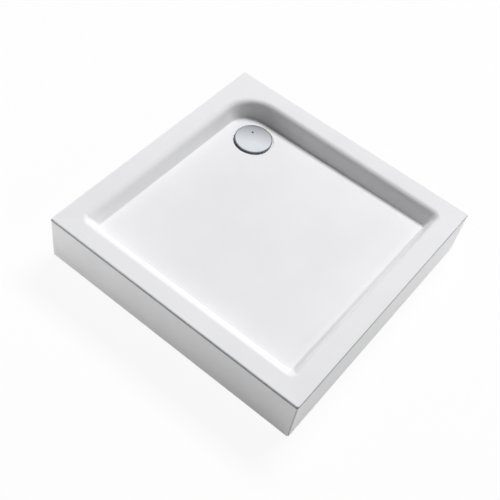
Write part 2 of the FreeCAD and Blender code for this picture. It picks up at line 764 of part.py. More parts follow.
def make_foot_pad(name, x, y):
    body = new_body(f"foot_pad_{name}", x, y)
    side = new_sketch(body, "side", "XZ_Plane")
    socket = "rod_radius + rod_seat_play"
    outline(side, [
        ("0", "0"),
        ("pad_radius", "0"),
        ("pad_radius", "pad_rim"),
        ("pad_neck", "pad_height - pad_collar"),
        ("pad_neck", "pad_height"),
        (socket, "pad_height"),
        (socket, "pad_socket_floor"),
        ("0", "pad_socket_floor"),
    ])
    turned(body, side, "pad")
    rib = new_sketch(body, "rib", "XZ_Plane")
    rib_end = "pad_radius - pad_rib_inset"
    root = f"(pad_neck + {socket}) / 2"
    outline(rib, [
        (root, "pad_rim / 2"),
        (rib_end, "pad_rim / 2"),
        (rib_end, "pad_rim + pad_rib_rise"),
        ("pad_neck", "pad_height - pad_collar / 2"),
        (root, "pad_height - pad_collar / 2"),
    ])
    first = centred_pad(body, rib, "rib_pad", "pad_rib_thickness")
    all_round(body, first, "ribs", "Z_Axis", "pad_ribs")
    return body


def make_screws(label, places):
    """Screws driven upwards: a flat head under the sheet and a shank in the board."""
    body = new_body(label, z=f"{BOARD_UNDER} - rail_wall - screw_head_height")
    heads = new_sketch(body, "heads")
    shanks = new_sketch(body, "shanks", lift="screw_head_height")
    for x, y in places:
        circle(heads, x, y, "screw_head_radius")
        circle(shanks, x, y, "screw_radius")
    pad(body, heads, "head", "screw_head_height")
    pad(body, shanks, "shank", "rail_wall + screw_length")
    return body


# --- the apron panels -----------------------------------------------------------------------
# Each is drawn as a front panel; the side panel's pieces get a quarter turn.


def make_panel(label, hand, turn):
    """A panel with returned lower and end edges, mitred at the end that hand points to."""
    body = new_body(label, turn=turn)
    inner_edge = f"-({PANEL_FACE} - panel_return)"
    section = new_sketch(body, "section", "YZ_Plane")
    outline(section, [
        (f"-{PANEL_FACE}", "floor_gap"),
        (inner_edge, "floor_gap"),
        (inner_edge, "floor_gap + panel_wall"),
        (f"-{PANEL_BACK}", "floor_gap + panel_wall"),
        (f"-{PANEL_BACK}", PANEL_TOP),
        (f"-{PANEL_FACE}", PANEL_TOP),
    ])
    centred_pad(body, section, "sheet", f"{PANEL_FACE} * 2")

    plan = new_sketch(body, "end_return", lift="floor_gap")
    box_outline(plan, f"-{hand} * {PANEL_FACE}", f"-{hand} * {PANEL_BACK}", f"-{PANEL_FACE}", inner_edge)
    pad(body, plan, "end_flange", f"{FOOT_ROOM} - strip_margin - floor_gap")

    mitre = new_sketch(body, "mitre")
    share = "mitre_gap / sqrt(2)"
    outside = f"({PANEL_FACE} + panel_return)"
    inside = f"({PANEL_FACE} - panel_return * 2)"
    outline(mitre, [
        (f"{hand} * {outside}", f"-{outside} - {share}"),
        (f"{hand} * {outside}", f"-{inside} - {share}"),
        (f"{hand} * {inside}", f"-{inside} - {share}"),
    ])
    cut = pocket(body, mitre, "mitre_cut", "tray_height", up=True)

    def outer_edge(edge):
        box = edge.BoundBox
        at_face = box.YLength < TOLERANCE and abs(box.YMin + amount(PANEL_FACE)) < TOLERANCE
        upright = box.XLength < TOLERANCE
        top = box.ZLength < TOLERANCE and abs(box.ZMin - amount(PANEL_TOP)) < TOLERANCE
        return at_face and (upright or top)

    rounding(body, cut, "edge_rounding", "panel_rounding", outer_edge)
    return body


def make_corner_strip():
    """An angle behind the mitre, bonded to the back of the front panel."""
    body = new_body("corner_strip")
    low = "floor_gap + panel_wall + strip_margin"
    plan = new_sketch(body, "plan", lift=low)
    face = f"({PANEL_BACK} - running_gap)"
    outline(plan, [
        (f"{face} - strip_leg", f"-{PANEL_BACK}"),
        (face, f"-{PANEL_BACK}"),
        (face, f"-({PANEL_BACK} - strip_leg)"),
        (f"{face} - strip_wall", f"-({PANEL_BACK} - strip_leg)"),
        (f"{face} - strip_wall", f"-({PANEL_BACK} - strip_wall)"),
        (f"{face} - strip_leg", f"-({PANEL_BACK} - strip_wall)"),
    ])
    pad(body, plan, "angle", f"{FOOT_ROOM} - strip_margin - ({low})")
    return body


def make_tape(label, turn):
    """Foam tape on the skirt, which the back of the panel leans on."""
    body = new_body(label, turn=turn)
    top = f"({PANEL_TOP} - strip_margin / 3)"
    plan = new_sketch(body, "plan", lift=f"{top} - tape_height")
    half = "tape_length / 2"
    box_outline(plan, f"-{half}", half, f"-({PANEL_BACK} - running_gap)", f"-{SKIRT_OUT}")
    pad(body, plan, "tape", "tape_height")
    return body


def make_brackets(label, spread, turn):
    """Two folded brackets from under the board to behind the foot of a panel."""
    body = new_body(label, turn=turn)
    board_end = f"-({BOARD_HALF} - bracket_foot)"
    leg = f"-({BOARD_HALF} + bracket_reach)"
    blade_end = f"-({PANEL_FACE} - blade_end)"
    blade_top = "blade_level + rail_wall"
    for side in ("-1", "1"):
        section = new_sketch(body, f"section_{len(body.Group)}", "YZ_Plane", f"{side} * {spread}")
        outline(section, [
            (board_end, BOARD_UNDER),
            (leg, BOARD_UNDER),
            (leg, blade_top),
            (blade_end, blade_top),
            (blade_end, "blade_level"),
            (f"{leg} + rail_wall", "blade_level"),
            (f"{leg} + rail_wall", f"{BOARD_UNDER} - rail_wall"),
            (board_end, f"{BOARD_UNDER} - rail_wall"),
        ])
        centred_pad(body, section, f"bracket_{len(body.Group)}", "bracket_width")
    holes = new_sketch(body, "screw_holes", lift=f"{BOARD_UNDER} - rail_wall")
    for x, y in bracket_screws(spread):
        circle(holes, x, y, "screw_radius + screw_play")
    pocket(body, holes, "screw_hole_pocket", "rail_wall", up=True)
    return body


def make_clips(label, spread, turn):
    """Two clips bonded in the foot of a panel; each slot takes a bracket's blade."""
    body = new_body(label, turn=turn)
    back = f"-{PANEL_BACK}"
    mouth = f"-({PANEL_BACK} - clip_depth)"
    slot_end = f"-({PANEL_FACE} - blade_end + running_gap)"
    slot_low = "blade_level - running_gap"
    slot_high = "blade_level + rail_wall + running_gap"
    low = "floor_gap + panel_wall"
    high = f"{slot_high} + clip_jaw"
    for side in ("-1", "1"):
        section = new_sketch(body, f"section_{len(body.Group)}", "YZ_Plane", f"{side} * {spread}")
        outline(section, [
            (back, low),
            (mouth, low),
            (mouth, slot_low),
            (slot_end, slot_low),
            (slot_end, slot_high),
            (mouth, slot_high),
            (mouth, high),
            (back, high),
        ])
        centred_pad(body, section, f"clip_{len(body.Group)}", "clip_width")
    return body


# --- the drain trap ---------------------------------------------------------------------------


def make_trap_head():
    """The head that hangs under the tray: flange, neck, shoulder and the spigot in the pot."""
    body = new_body("trap_head", DRAIN_X, DRAIN_Y)
    neck_out = "(neck_radius + neck_wall)"
    spigot_bore = f"({POT_BORE} - spigot_wall)"
    spigot_end = f"({SHOULDER} - spigot_depth)"
    wall = new_sketch(body, "wall", "XZ_Plane")
    outline(wall, [
        ("pot_radius", SHOULDER),
        (neck_out, NECK_END),
        (neck_out, FLANGE_UNDER),
        ("gasket_outer", FLANGE_UNDER),
        ("gasket_outer", FLANGE_TOP),
        ("neck_radius", FLANGE_TOP),
        ("neck_radius", NECK_END),
        (spigot_bore, SHOULDER),
        (spigot_bore, spigot_end),
        (POT_BORE, spigot_end),
        (POT_BORE, SHOULDER),
    ])
    turned(body, wall, "head")
    rib = new_sketch(body, "rib", "XZ_Plane")
    root = "neck_radius + neck_wall / 2"
    outline(rib, [
        (root, f"{FLANGE_TOP} - flange_thickness / 2"),
        (root, f"{FLANGE_UNDER} - head_rib_height"),
        (neck_out, f"{FLANGE_UNDER} - head_rib_height"),
        ("gasket_outer - head_rib_inset", FLANGE_UNDER),
        ("gasket_outer - head_rib_inset", f"{FLANGE_TOP} - flange_thickness / 2"),
    ])
    first = centred_pad(body, rib, "rib_pad", "head_rib_thickness")
    all_round(body, first, "ribs", "Z_Axis", "head_ribs")
    return body


def make_trap_weir():
    """The tube inside the pot over which the water leaves."""
    body = new_body("trap_weir", DRAIN_X, DRAIN_Y, POT_FLOOR)
    weir_bore = "(weir_radius - weir_wall)"
    section = new_sketch(body, "section", "XZ_Plane")
    outline(section, [
        (weir_bore, "0"),
        ("weir_radius + weir_foot", "0"),
        ("weir_radius + weir_foot", "weir_foot_height"),
        ("weir_radius", "weir_foot_height"),
        ("weir_radius", f"{WEIR_TOP} - {POT_FLOOR}"),
        (weir_bore, f"{WEIR_TOP} - {POT_FLOOR}"),
    ])
    turned(body, section, "weir")
    return body


def make_trap_pot():
    """The pot with its outlet stub and the cup for the outlet's ball."""
    body = new_body("trap_pot", DRAIN_X, DRAIN_Y)
    wall = new_sketch(body, "wall", "XZ_Plane")
    outline(wall, [
        ("0", "pot_floor_gap"),
        ("pot_radius", "pot_floor_gap"),
        ("pot_radius", SHOULDER),
        (POT_BORE, SHOULDER),
        (POT_BORE, POT_FLOOR),
        ("0", POT_FLOOR),
    ])
    pot = turned(body, wall, "pot")
    rounding(body, pot, "foot_rounding", "pot_foot_rounding", along_level("pot_floor_gap"))

    stub = new_sketch(body, "stub", "XZ_Plane", rise="outlet_level")
    start = f"-({POT_BORE} + pot_wall / 2)"
    cup_floor = f"-(outlet_reach - sqrt({CUP_BORE} ^ 2 - outlet_bore ^ 2))"
    cup_back = "-(outlet_reach - nut_grip)"
    outline(stub, [
        (start, "outlet_bore"),
        (start, "stub_radius"),
        (f"{cup_back} + ({CUP_OUT} - stub_radius)", "stub_radius"),
        (cup_back, CUP_OUT),
        ("-outlet_reach", CUP_OUT),
        ("-outlet_reach", CUP_BORE),
        (cup_floor, "outlet_bore"),
    ], {5: (("-outlet_reach", "0"), True, "y")})
    turned(body, stub, "outlet_stub", axis="H_Axis")

    bore = new_sketch(body, "bore", "YZ_Plane", lift="-weir_radius", rise="outlet_level")
    circle(bore, "0", "0", "outlet_bore")
    pocket(body, bore, "outlet_bore_cut", "outlet_reach - weir_radius")
    return body


def make_ring(label, inner, outer, low, height):
    """A flat ring round the drain's axis."""
    body = new_body(label, DRAIN_X, DRAIN_Y, low)
    plan = new_sketch(body, "plan")
    circle(plan, "0", "0", outer)
    circle(plan, "0", "0", inner)
    pad(body, plan, "ring", height)
    return body


def make_collar():
    """The collar that clamps the tray to the trap and carries the dip tube on its ledge."""
    body = new_body("clamping_collar", DRAIN_X, DRAIN_Y, SEAT)
    section = new_sketch(body, "section", "XZ_Plane")
    ledge_tip = f"({COLLAR_BORE} - collar_ledge)"
    outline(section, [
        (COLLAR_BORE, "-collar_depth"),
        ("neck_radius", "-collar_depth"),
        ("neck_radius", "seal_thickness"),
        ("seal_outer", "seal_thickness"),
        ("seal_outer", "seal_thickness + collar_plate"),
        (COLLAR_BORE, "seal_thickness + collar_plate"),
        (COLLAR_BORE, "-ledge_level"),
        (ledge_tip, "-ledge_level"),
        (ledge_tip, "-ledge_level - ledge_thickness"),
        (COLLAR_BORE, "-ledge_level - ledge_thickness"),
    ])
    turned(body, section, "collar")
    return body


def make_dip_tube():
    """The lift-out tube whose lower end stands in the water seal."""
    body = new_body("dip_tube", DRAIN_X, DRAIN_Y)
    section = new_sketch(body, "section", "XZ_Plane")
    outline(section, [
        (TUBE_BORE, TUBE_END),
        ("tube_radius", TUBE_END),
        ("tube_radius", LEDGE),
        (TUBE_LIP_RADIUS, LEDGE),
        (TUBE_LIP_RADIUS, f"{LEDGE} + tube_lip"),
        (f"{TUBE_LIP_RADIUS} - tube_lip_seat", f"{LEDGE} + tube_lip"),
        (TUBE_BORE, f"{LEDGE} + tube_lip / 3"),
    ])
    turned(body, section, "tube")
    return body


def ball_half_width(radius):
    """From the ball's middle to where its surface has the given radius."""
    return f"sqrt(ball_radius ^ 2 - ({radius}) ^ 2)"


def make_outlet_pipe():
    """The outlet pipe with the hollow ball that swivels in the trap's cup."""
    body = new_body("outlet_pipe", BALL_X, DRAIN_Y, "outlet_level")
    section = new_sketch(body, "section", "XZ_Plane")
    end = "-pipe_length"
    stop = "(pipe_insert - pipe_length)"
    collar = "(pipe_radius + stop_collar)"
    outline(section, [
        (end, "pipe_radius - pipe_wall"),
        (ball_half_width("pipe_radius - pipe_wall"), "pipe_radius - pipe_wall"),
        (f"-{ball_half_width('pipe_radius')}", "pipe_radius"),
        (f"{stop} + stop_collar", "pipe_radius"),
        (f"{stop} + stop_collar", collar),
        (stop, collar),
        (stop, "pipe_radius"),
        (end, "pipe_radius"),
    ], {1: (("0", "0"), False, "y")})
    turned(body, section, "pipe", axis="H_Axis")
    return body


def make_union_nut():
    """The nut that holds the ball in its cup, with grip ribs round the outside."""
    body = new_body("union_nut", BALL_X, DRAIN_Y, "outlet_level")
    section = new_sketch(body, "section", "XZ_Plane")
    outer = f"({CUP_OUT} + nut_wall)"
    mouth = f"sqrt({CUP_BORE} ^ 2 - nut_hold ^ 2)"
    seal_edge = f"sqrt({CUP_BORE} ^ 2 - ring_seat ^ 2)"
    outline(section, [
        ("nut_grip", CUP_OUT),
        ("nut_grip", outer),
        ("-nut_hold", outer),
        ("-nut_hold", mouth),
        ("-ring_seat", seal_edge),
        ("-ring_seat", CUP_OUT),
    ], {3: (("0", "0"), True, "x")})
    turned(body, section, "nut", axis="H_Axis")
    rib = new_sketch(body, "rib", "YZ_Plane", lift="-nut_hold")
    root = f"{outer} - nut_wall / 2"
    box_outline(rib, "-grip_rib_width / 2", "grip_rib_width / 2", root, f"{outer} + grip_rib")
    first = pad(body, rib, "rib_pad", "nut_hold + nut_grip")
    all_round(body, first, "ribs", "X_Axis", "grip_ribs")
    return body


def make_outlet_seal():
    body = new_body("outlet_seal", BALL_X, DRAIN_Y, "outlet_level")
    plan = new_sketch(body, "plan", "YZ_Plane", lift="-ring_seat")
    circle(plan, "0", "0", CUP_OUT)
    circle(plan, "0", "0", CUP_BORE)
    pad(body, plan, "ring", "ring_seat")
    return body


# --- the drain cover --------------------------------------------------------------------------


def make_cover():
    """The domed cover with its turned edge and lifting hole."""
    body = new_body("drain_cover", DRAIN_X, DRAIN_Y)
    section = new_sketch(body, "section", "XZ_Plane")
    centre = ("0", f"{COVER_TOP} - {COVER_BEND}")
    inner = "(cover_radius - cover_sheet)"
    inner_side = f"{COVER_TOP} - {COVER_BEND} + sqrt(({COVER_BEND} - cover_sheet) ^ 2 - {inner} ^ 2)"
    outline(section, [
        ("0", f"{COVER_TOP} - cover_sheet"),
        (inner, inner_side),
        (inner, COVER_EDGE),
        ("cover_radius", COVER_EDGE),
        ("cover_radius", COVER_SIDE),
        ("0", COVER_TOP),
    ], {0: (centre, True, "x"), 4: (centre, False, "x")})
    dome = turned(body, section, "dome")
    rounding(body, dome, "edge_rounding", "cover_rounding", along_level(COVER_SIDE))
    hole = new_sketch(body, "hole", lift=COVER_EDGE)
    circle(hole, "-cover_hole_offset / sqrt(2)", "cover_hole_offset / sqrt(2)", "cover_hole")
    pocket(body, hole, "hole_pocket", "cover_radius", up=True)
    return body


def make_carrier():
    """The crossed fins that hold the cover in the dip tube."""
    body = new_body("cover_carrier", DRAIN_X, DRAIN_Y)
    under = f"({COVER_TOP} - {COVER_BEND} + sqrt(({COVER_BEND} - cover_sheet) ^ 2 - carrier_reach ^ 2))"
    shoulder = f"({LEDGE} + tube_lip)"
    inner = f"({TUBE_BORE} - carrier_play)"
    low = f"({LEDGE} - carrier_depth)"
    for role in ("XZ_Plane", "YZ_Plane"):
        fin = new_sketch(body, f"fin_{role[:2]}", role)
        outline(fin, [
            (f"-{inner}", low),
            (inner, low),
            (inner, shoulder),
            ("carrier_reach", shoulder),
            ("carrier_reach", under),
            ("-carrier_reach", under),
            ("-carrier_reach", shoulder),
            (f"-{inner}", shoulder),
        ])
        centred_pad(body, fin, f"fin_pad_{role[:2]}", "carrier_fin")
    ring = new_sketch(body, "ring", lift=f"{under} - carrier_ring_wall")
    circle(ring, "0", "0", "carrier_reach")
    circle(ring, "0", "0", "carrier_reach - carrier_ring_wall")
    pad(body, ring, "ring_pad", "carrier_ring_wall")
    return body


# --- the finished parts -----------------------------------------------------------------------

SIDE_TURN = 90

bodies = [
    make_tray_shell(),
    make_backing(),
    make_foam_bed(),
    make_base_board(),
    make_rail(
        "leg_rail_left", "left_rail_x", "rail_length", "y",
        [("0", f"-{FOOT_Y}"), ("0", FOOT_Y)], LONG_RAIL_SCREWS,
    ),
    make_rail(
        "leg_rail_right", "right_rail_x", "rail_length", "y",
        [("0", f"-{FOOT_Y}"), ("0", FOOT_Y)], LONG_RAIL_SCREWS,
    ),
    make_rail(
        "leg_rail_short", "short_rail_x", "short_rail_length", "x",
        [(SHORT_FOOT, "0")], SHORT_RAIL_SCREWS,
    ),
    make_screws("rail_screws", RAIL_SCREWS),
    make_nuts("weld_nuts", f"{RAIL_UNDER} + rail_wall"),
    make_nuts("lock_nuts", f"{RAIL_UNDER} - nut_height"),
    make_panel("front_panel", 1, 0),
    make_panel("side_panel", -1, SIDE_TURN),
    make_corner_strip(),
    make_tape("front_foam_tape", 0),
    make_tape("side_foam_tape", SIDE_TURN),
    make_brackets("front_panel_brackets", "front_bracket_spread", 0),
    make_brackets("side_panel_brackets", "side_bracket_spread", SIDE_TURN),
    make_clips("front_panel_clips", "front_bracket_spread", 0),
    make_clips("side_panel_clips", "side_bracket_spread", SIDE_TURN),
    make_screws("bracket_screws", PANEL_SCREWS),
    make_trap_head(),
    make_trap_weir(),
    make_trap_pot(),
    make_ring("lower_gasket", "hole_radius", "gasket_outer", FLANGE_TOP, "gasket_thickness"),
    make_ring("upper_seal", "hole_radius", "seal_outer", SEAT, "seal_thickness"),
    make_collar(),
    make_dip_tube(),
    make_ring(
        "dip_tube_seal", TUBE_LIP_RADIUS, f"{TUBE_LIP_RADIUS} + ring_width",
        f"{LEDGE} + (tube_lip - ring_height) / 2", "ring_height",
    ),
    make_outlet_pipe(),
    make_union_nut(),
    make_outlet_seal(),
    make_cover(),
    make_carrier(),
]
for name, x, y in FEET:
    bodies.append(make_foot_pad(name, x, y))
    bodies.append(make_rod(name, x, y))
doc.recompute()

for item in doc.Objects:
    if "Invalid" in item.State or "Error" in item.State:
        raise RuntimeError(f"{item.Name} did not build: {item.State}")

os.makedirs("parts", exist_ok=True)
for body in bodies:
    if body.Shape.isNull() or not body.Shape.isValid():
        raise RuntimeError(f"{body.Label} has no valid shape")
    body.Shape.exportStep(f"parts/{body.Label}.step")
    print(f"{body.Label}: {len(body.Shape.Solids)} solid(s), {body.Shape.Volume / 1000:.2f} cm3")
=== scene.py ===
# A square shower tray with two apron panels, dressed for a studio picture.
import math

import bmesh
import bpy
from mathutils import Matrix, Vector


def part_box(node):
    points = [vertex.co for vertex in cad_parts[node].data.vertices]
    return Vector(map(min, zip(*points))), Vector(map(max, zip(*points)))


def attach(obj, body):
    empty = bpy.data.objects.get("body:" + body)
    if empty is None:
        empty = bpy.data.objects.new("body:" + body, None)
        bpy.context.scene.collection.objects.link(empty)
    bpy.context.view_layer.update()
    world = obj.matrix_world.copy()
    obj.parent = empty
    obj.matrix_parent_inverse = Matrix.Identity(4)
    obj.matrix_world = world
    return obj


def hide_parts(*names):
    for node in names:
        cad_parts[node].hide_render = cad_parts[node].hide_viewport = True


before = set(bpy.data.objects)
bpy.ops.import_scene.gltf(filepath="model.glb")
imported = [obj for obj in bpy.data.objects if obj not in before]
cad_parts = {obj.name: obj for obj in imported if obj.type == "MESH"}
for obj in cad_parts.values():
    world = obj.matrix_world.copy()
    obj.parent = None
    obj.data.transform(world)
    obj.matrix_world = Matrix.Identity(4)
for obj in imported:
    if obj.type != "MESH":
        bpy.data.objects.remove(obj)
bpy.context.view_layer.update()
scene = bpy.context.scene
mm = 0.001

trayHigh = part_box("tray_shell")[1] / mm
trayHalf = trayHigh.x
rimTop = trayHigh.z
sealLow, sealHigh = (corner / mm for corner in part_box("upper_seal"))
drain = (sealLow + sealHigh) / 2  # middle of the drain
seatLevel = sealLow.z  # the level ring that the drain's seal lies on


def linear(colour):  # sRGB hex to the linear values that a shader takes
    channels = [int(colour[place:place + 2], 16) / 255 for place in (1, 3, 5)]
    return [c / 12.92 if c <= 0.04045 else ((c + 0.055) / 1.055) ** 2.4 for c in channels] + [1]


def perMm(size):  # texture scale for a pattern of this size in millimetres
    return 1 / (size * mm)


def addNode(tree, kind, settings=None, inputs=None):
    node = tree.nodes.new(kind)
    for name, value in (settings or {}).items():
        setattr(node, name, value)
    for name, value in (inputs or {}).items():
        if isinstance(value, bpy.types.NodeSocket):
            tree.links.new(value, node.inputs[name])
        else:
            node.inputs[name].default_value = value
    return node


def newMaterial(name, surface):
    material = bpy.data.materials.new(name)
    material.use_nodes = True
    tree = material.node_tree
    tree.nodes.clear()
    shader = addNode(tree, "ShaderNodeBsdfPrincipled", {}, surface)
    addNode(tree, "ShaderNodeOutputMaterial", {}, {"Surface": shader.outputs["BSDF"]})
    place = addNode(tree, "ShaderNodeTexCoord").outputs["Object"]
    return material, tree, shader, place


def colourRamp(tree, factor, stops):  # stops are (position, hex) pairs
    ramp = addNode(tree, "ShaderNodeValToRGB", {}, {"Fac": factor})
    while len(ramp.color_ramp.elements) < len(stops):
        ramp.color_ramp.elements.new(0.5)
    for element, (position, colour) in zip(ramp.color_ramp.elements, stops):
        element.position = position
        element.color = linear(colour)
    return ramp.outputs["Color"]


def noise(tree, place, size, detail):  # a cloudy 0..1 factor with lumps of this size in millimetres
    inputs = {"Vector": place, "Scale": perMm(size), "Detail": detail}
    return addNode(tree, "ShaderNodeTexNoise", {}, inputs).outputs["Fac"]


def cells(tree, place, size):  # a cell pattern of this size in millimetres
    inputs = {"Vector": place, "Scale": perMm(size)}
    return addNode(tree, "ShaderNodeTexVoronoi", {}, inputs).outputs


def calculated(tree, operation, *values):
    node = addNode(tree, "ShaderNodeMath", {"operation": operation}, dict(enumerate(values)))
    return node.outputs["Value"]


def stretched(tree, place, scale, rotation=(0, 0, 0)):
    inputs = {"Vector": place, "Rotation": rotation, "Scale": scale}
    return addNode(tree, "ShaderNodeMapping", {}, inputs).outputs["Vector"]


def coloured(tree, shader, factor, stops):
    tree.links.new(colourRamp(tree, factor, stops), shader.inputs["Base Color"])


def roughened(tree, shader, factor, low, high):
    inputs = {"Value": factor, "To Min": low, "To Max": high}
    spread = addNode(tree, "ShaderNodeMapRange", {}, inputs)
    tree.links.new(spread.outputs["Result"], shader.inputs["Roughness"])


def bumped(tree, shader, height, depth, strength=1.0, base=None):  # depth in millimetres
    inputs = {"Height": height, "Distance": depth * mm, "Strength": strength}
    if base:
        inputs["Normal"] = base
    bump = addNode(tree, "ShaderNodeBump", {}, inputs)
    tree.links.new(bump.outputs["Normal"], shader.inputs["Normal"])
    return bump.outputs["Normal"]


# materials, one function for each kind


def makeCastAcrylic():
    # vacuum-formed cast acrylic sheet: glassy white, with the faint waviness of a formed sheet
    material, tree, shader, place = newMaterial("castAcrylicWhite", {"IOR": 1.49})
    cloud = noise(tree, place, 150, 2)
    wave = noise(tree, place, 14, 2)
    coloured(tree, shader, cloud, [(0.35, "#F1F1F3"), (0.65, "#F4F4F6")])
    roughened(tree, shader, cloud, 0.16, 0.24)
    bumped(tree, shader, wave, 0.02)
    return material


def makePanelAcrylic():
    # extruded acrylic-faced panel: the same white, satin, with faint lines along its length
    material, tree, shader, place = newMaterial("extrudedAcrylicWhite", {"IOR": 1.49})
    cloud = noise(tree, place, 90, 2)
    line = noise(tree, stretched(tree, place, (0.04, 0.04, 1)), 5, 3)
    coloured(tree, shader, cloud, [(0.35, "#EEEEEF"), (0.65, "#F1F1F2")])
    roughened(tree, shader, cloud, 0.42, 0.5)
    bumped(tree, shader, line, 0.01)
    return material


def makeGlassFibre():
    # chopped glass strands rolled into polyester resin: milky, glossy, strands crossing at random
    material, tree, shader, place = newMaterial("glassFibreResin", {"IOR": 1.55, "Roughness": 0.32})
    height = None
    for turn in (0.3, 1.2, 2.2, 2.9):
        turned = stretched(tree, place, (1, 0.06, 0.35), (turn * 1.3, turn * 0.7, turn))
        strand = cells(tree, turned, 2.2)["Distance"]
        height = calculated(tree, "MINIMUM", height, strand) if height else strand
    coloured(tree, shader, height, [(0.0, "#EFEDDF"), (0.25, "#E3E0CC"), (0.7, "#CFCBB0")])
    slope = bumped(tree, shader, noise(tree, place, 24, 3), 1.6)
    bumped(tree, shader, height, 0.5, 0.7, slope)
    return material


def makePolyurethaneFoam():
    # poured rigid foam: straw-coloured, with burst cells at its cut skin
    material, tree, shader, place = newMaterial("polyurethaneFoam", {"IOR": 1.4, "Roughness": 0.85})
    coloured(tree, shader, noise(tree, place, 35, 4), [(0.3, "#D9C48F"), (0.7, "#EADCB2")])
    bumped(tree, shader, cells(tree, place, 2.5)["Distance"], 1.2)
    return material


def makeChipboard():
    # pressed particle board: flat flakes of pale and brown wood, each a few millimetres long
    material, tree, shader, place = newMaterial("chipboard", {"IOR": 1.5, "Roughness": 0.75})
    stir = addNode(tree, "ShaderNodeTexNoise", {}, {
        "Vector": place, "Scale": perMm(9), "Detail": 2,
    })
    pushed = addNode(tree, "ShaderNodeVectorMath", {"operation": "MULTIPLY_ADD"}, {
        0: stir.outputs["Color"], 1: (4 * mm, 4 * mm, 4 * mm), 2: place,
    })
    flake = cells(tree, pushed.outputs["Vector"], 3.6)
    grain = noise(tree, place, 1.2, 4)
    tint = addNode(tree, "ShaderNodeSeparateColor", {}, {"Color": flake["Color"]})
    mixed = calculated(tree, "MULTIPLY_ADD", grain, 0.35, tint.outputs["Red"])
    coloured(tree, shader, mixed, [
        (0.1, "#8C6A42"), (0.4, "#B08A5A"), (0.75, "#C6A473"), (1.0, "#DCC296"),
    ])
    bumped(tree, shader, mixed, 0.25, 0.6)
    return material


def makeGalvanisedSheet():
    # hot-dip galvanised steel: zinc crystals a few millimetres wide, each with its own grey
    material, tree, shader, place = newMaterial("galvanisedSheet", {"Metallic": 1.0})
    crystal = cells(tree, place, 7)
    tint = addNode(tree, "ShaderNodeSeparateColor", {}, {"Color": crystal["Color"]})
    coloured(tree, shader, tint.outputs["Red"], [
        (0.0, "#A9AEB1"), (0.5, "#B9BDC0"), (1.0, "#CBCFD1"),
    ])
    roughened(tree, shader, tint.outputs["Green"], 0.28, 0.5)
    bumped(tree, shader, noise(tree, place, 1.5, 2), 0.03)
    return material


def makeZincPlate():
    # bright zinc-plated fasteners: smooth, faintly blue, duller in patches where hands touched them
    material, tree, shader, place = newMaterial("zincPlatedSteel", {"Metallic": 1.0})
    patch = noise(tree, place, 6, 3)
    coloured(tree, shader, patch, [(0.3, "#B9BEC4"), (0.7, "#CED2D6")])
    roughened(tree, shader, patch, 0.18, 0.34)
    bumped(tree, shader, patch, 0.02)
    return material


def mouldedPlastic(name, ior, dark, light, smooth, rough, grain):
    # injection-moulded plastic: even colour with slight flow marks and a fine eroded grain
    material, tree, shader, place = newMaterial(name, {"IOR": ior})
    flow = noise(tree, place, 30, 3)
    coloured(tree, shader, flow, [(0.3, dark), (0.7, light)])
    roughened(tree, shader, flow, smooth, rough)
    bumped(tree, shader, noise(tree, place, grain, 2), 0.04)
    return material


def makeNitrileRubber():
    # pressed nitrile rubber: matt black with a dusty bloom
    material, tree, shader, place = newMaterial("nitrileRubber", {"IOR": 1.52})
    bloom = noise(tree, place, 8, 4)
    coloured(tree, shader, bloom, [(0.3, "#1B1B1C"), (0.8, "#2C2C2D")])
    roughened(tree, shader, bloom, 0.55, 0.75)
    bumped(tree, shader, bloom, 0.05)
    return material


def makeClosedCellFoam():
    # die-cut polyethylene foam tape: dark grey, finely pitted
    material, tree, shader, place = newMaterial("closedCellFoam", {"IOR": 1.45, "Roughness": 0.9})
    pits = cells(tree, place, 1.1)["Distance"]
    coloured(tree, shader, pits, [(0.1, "#3A3A3B"), (0.8, "#555557")])
    bumped(tree, shader, pits, 0.25)
    return material


# in millimetres from the drain's middle: the plating's outer edge, and where the painted reflection
# gradient begins and ends
plateSizes = {"edge": 56, "reflectionFrom": -56, "reflectionTo": 20}


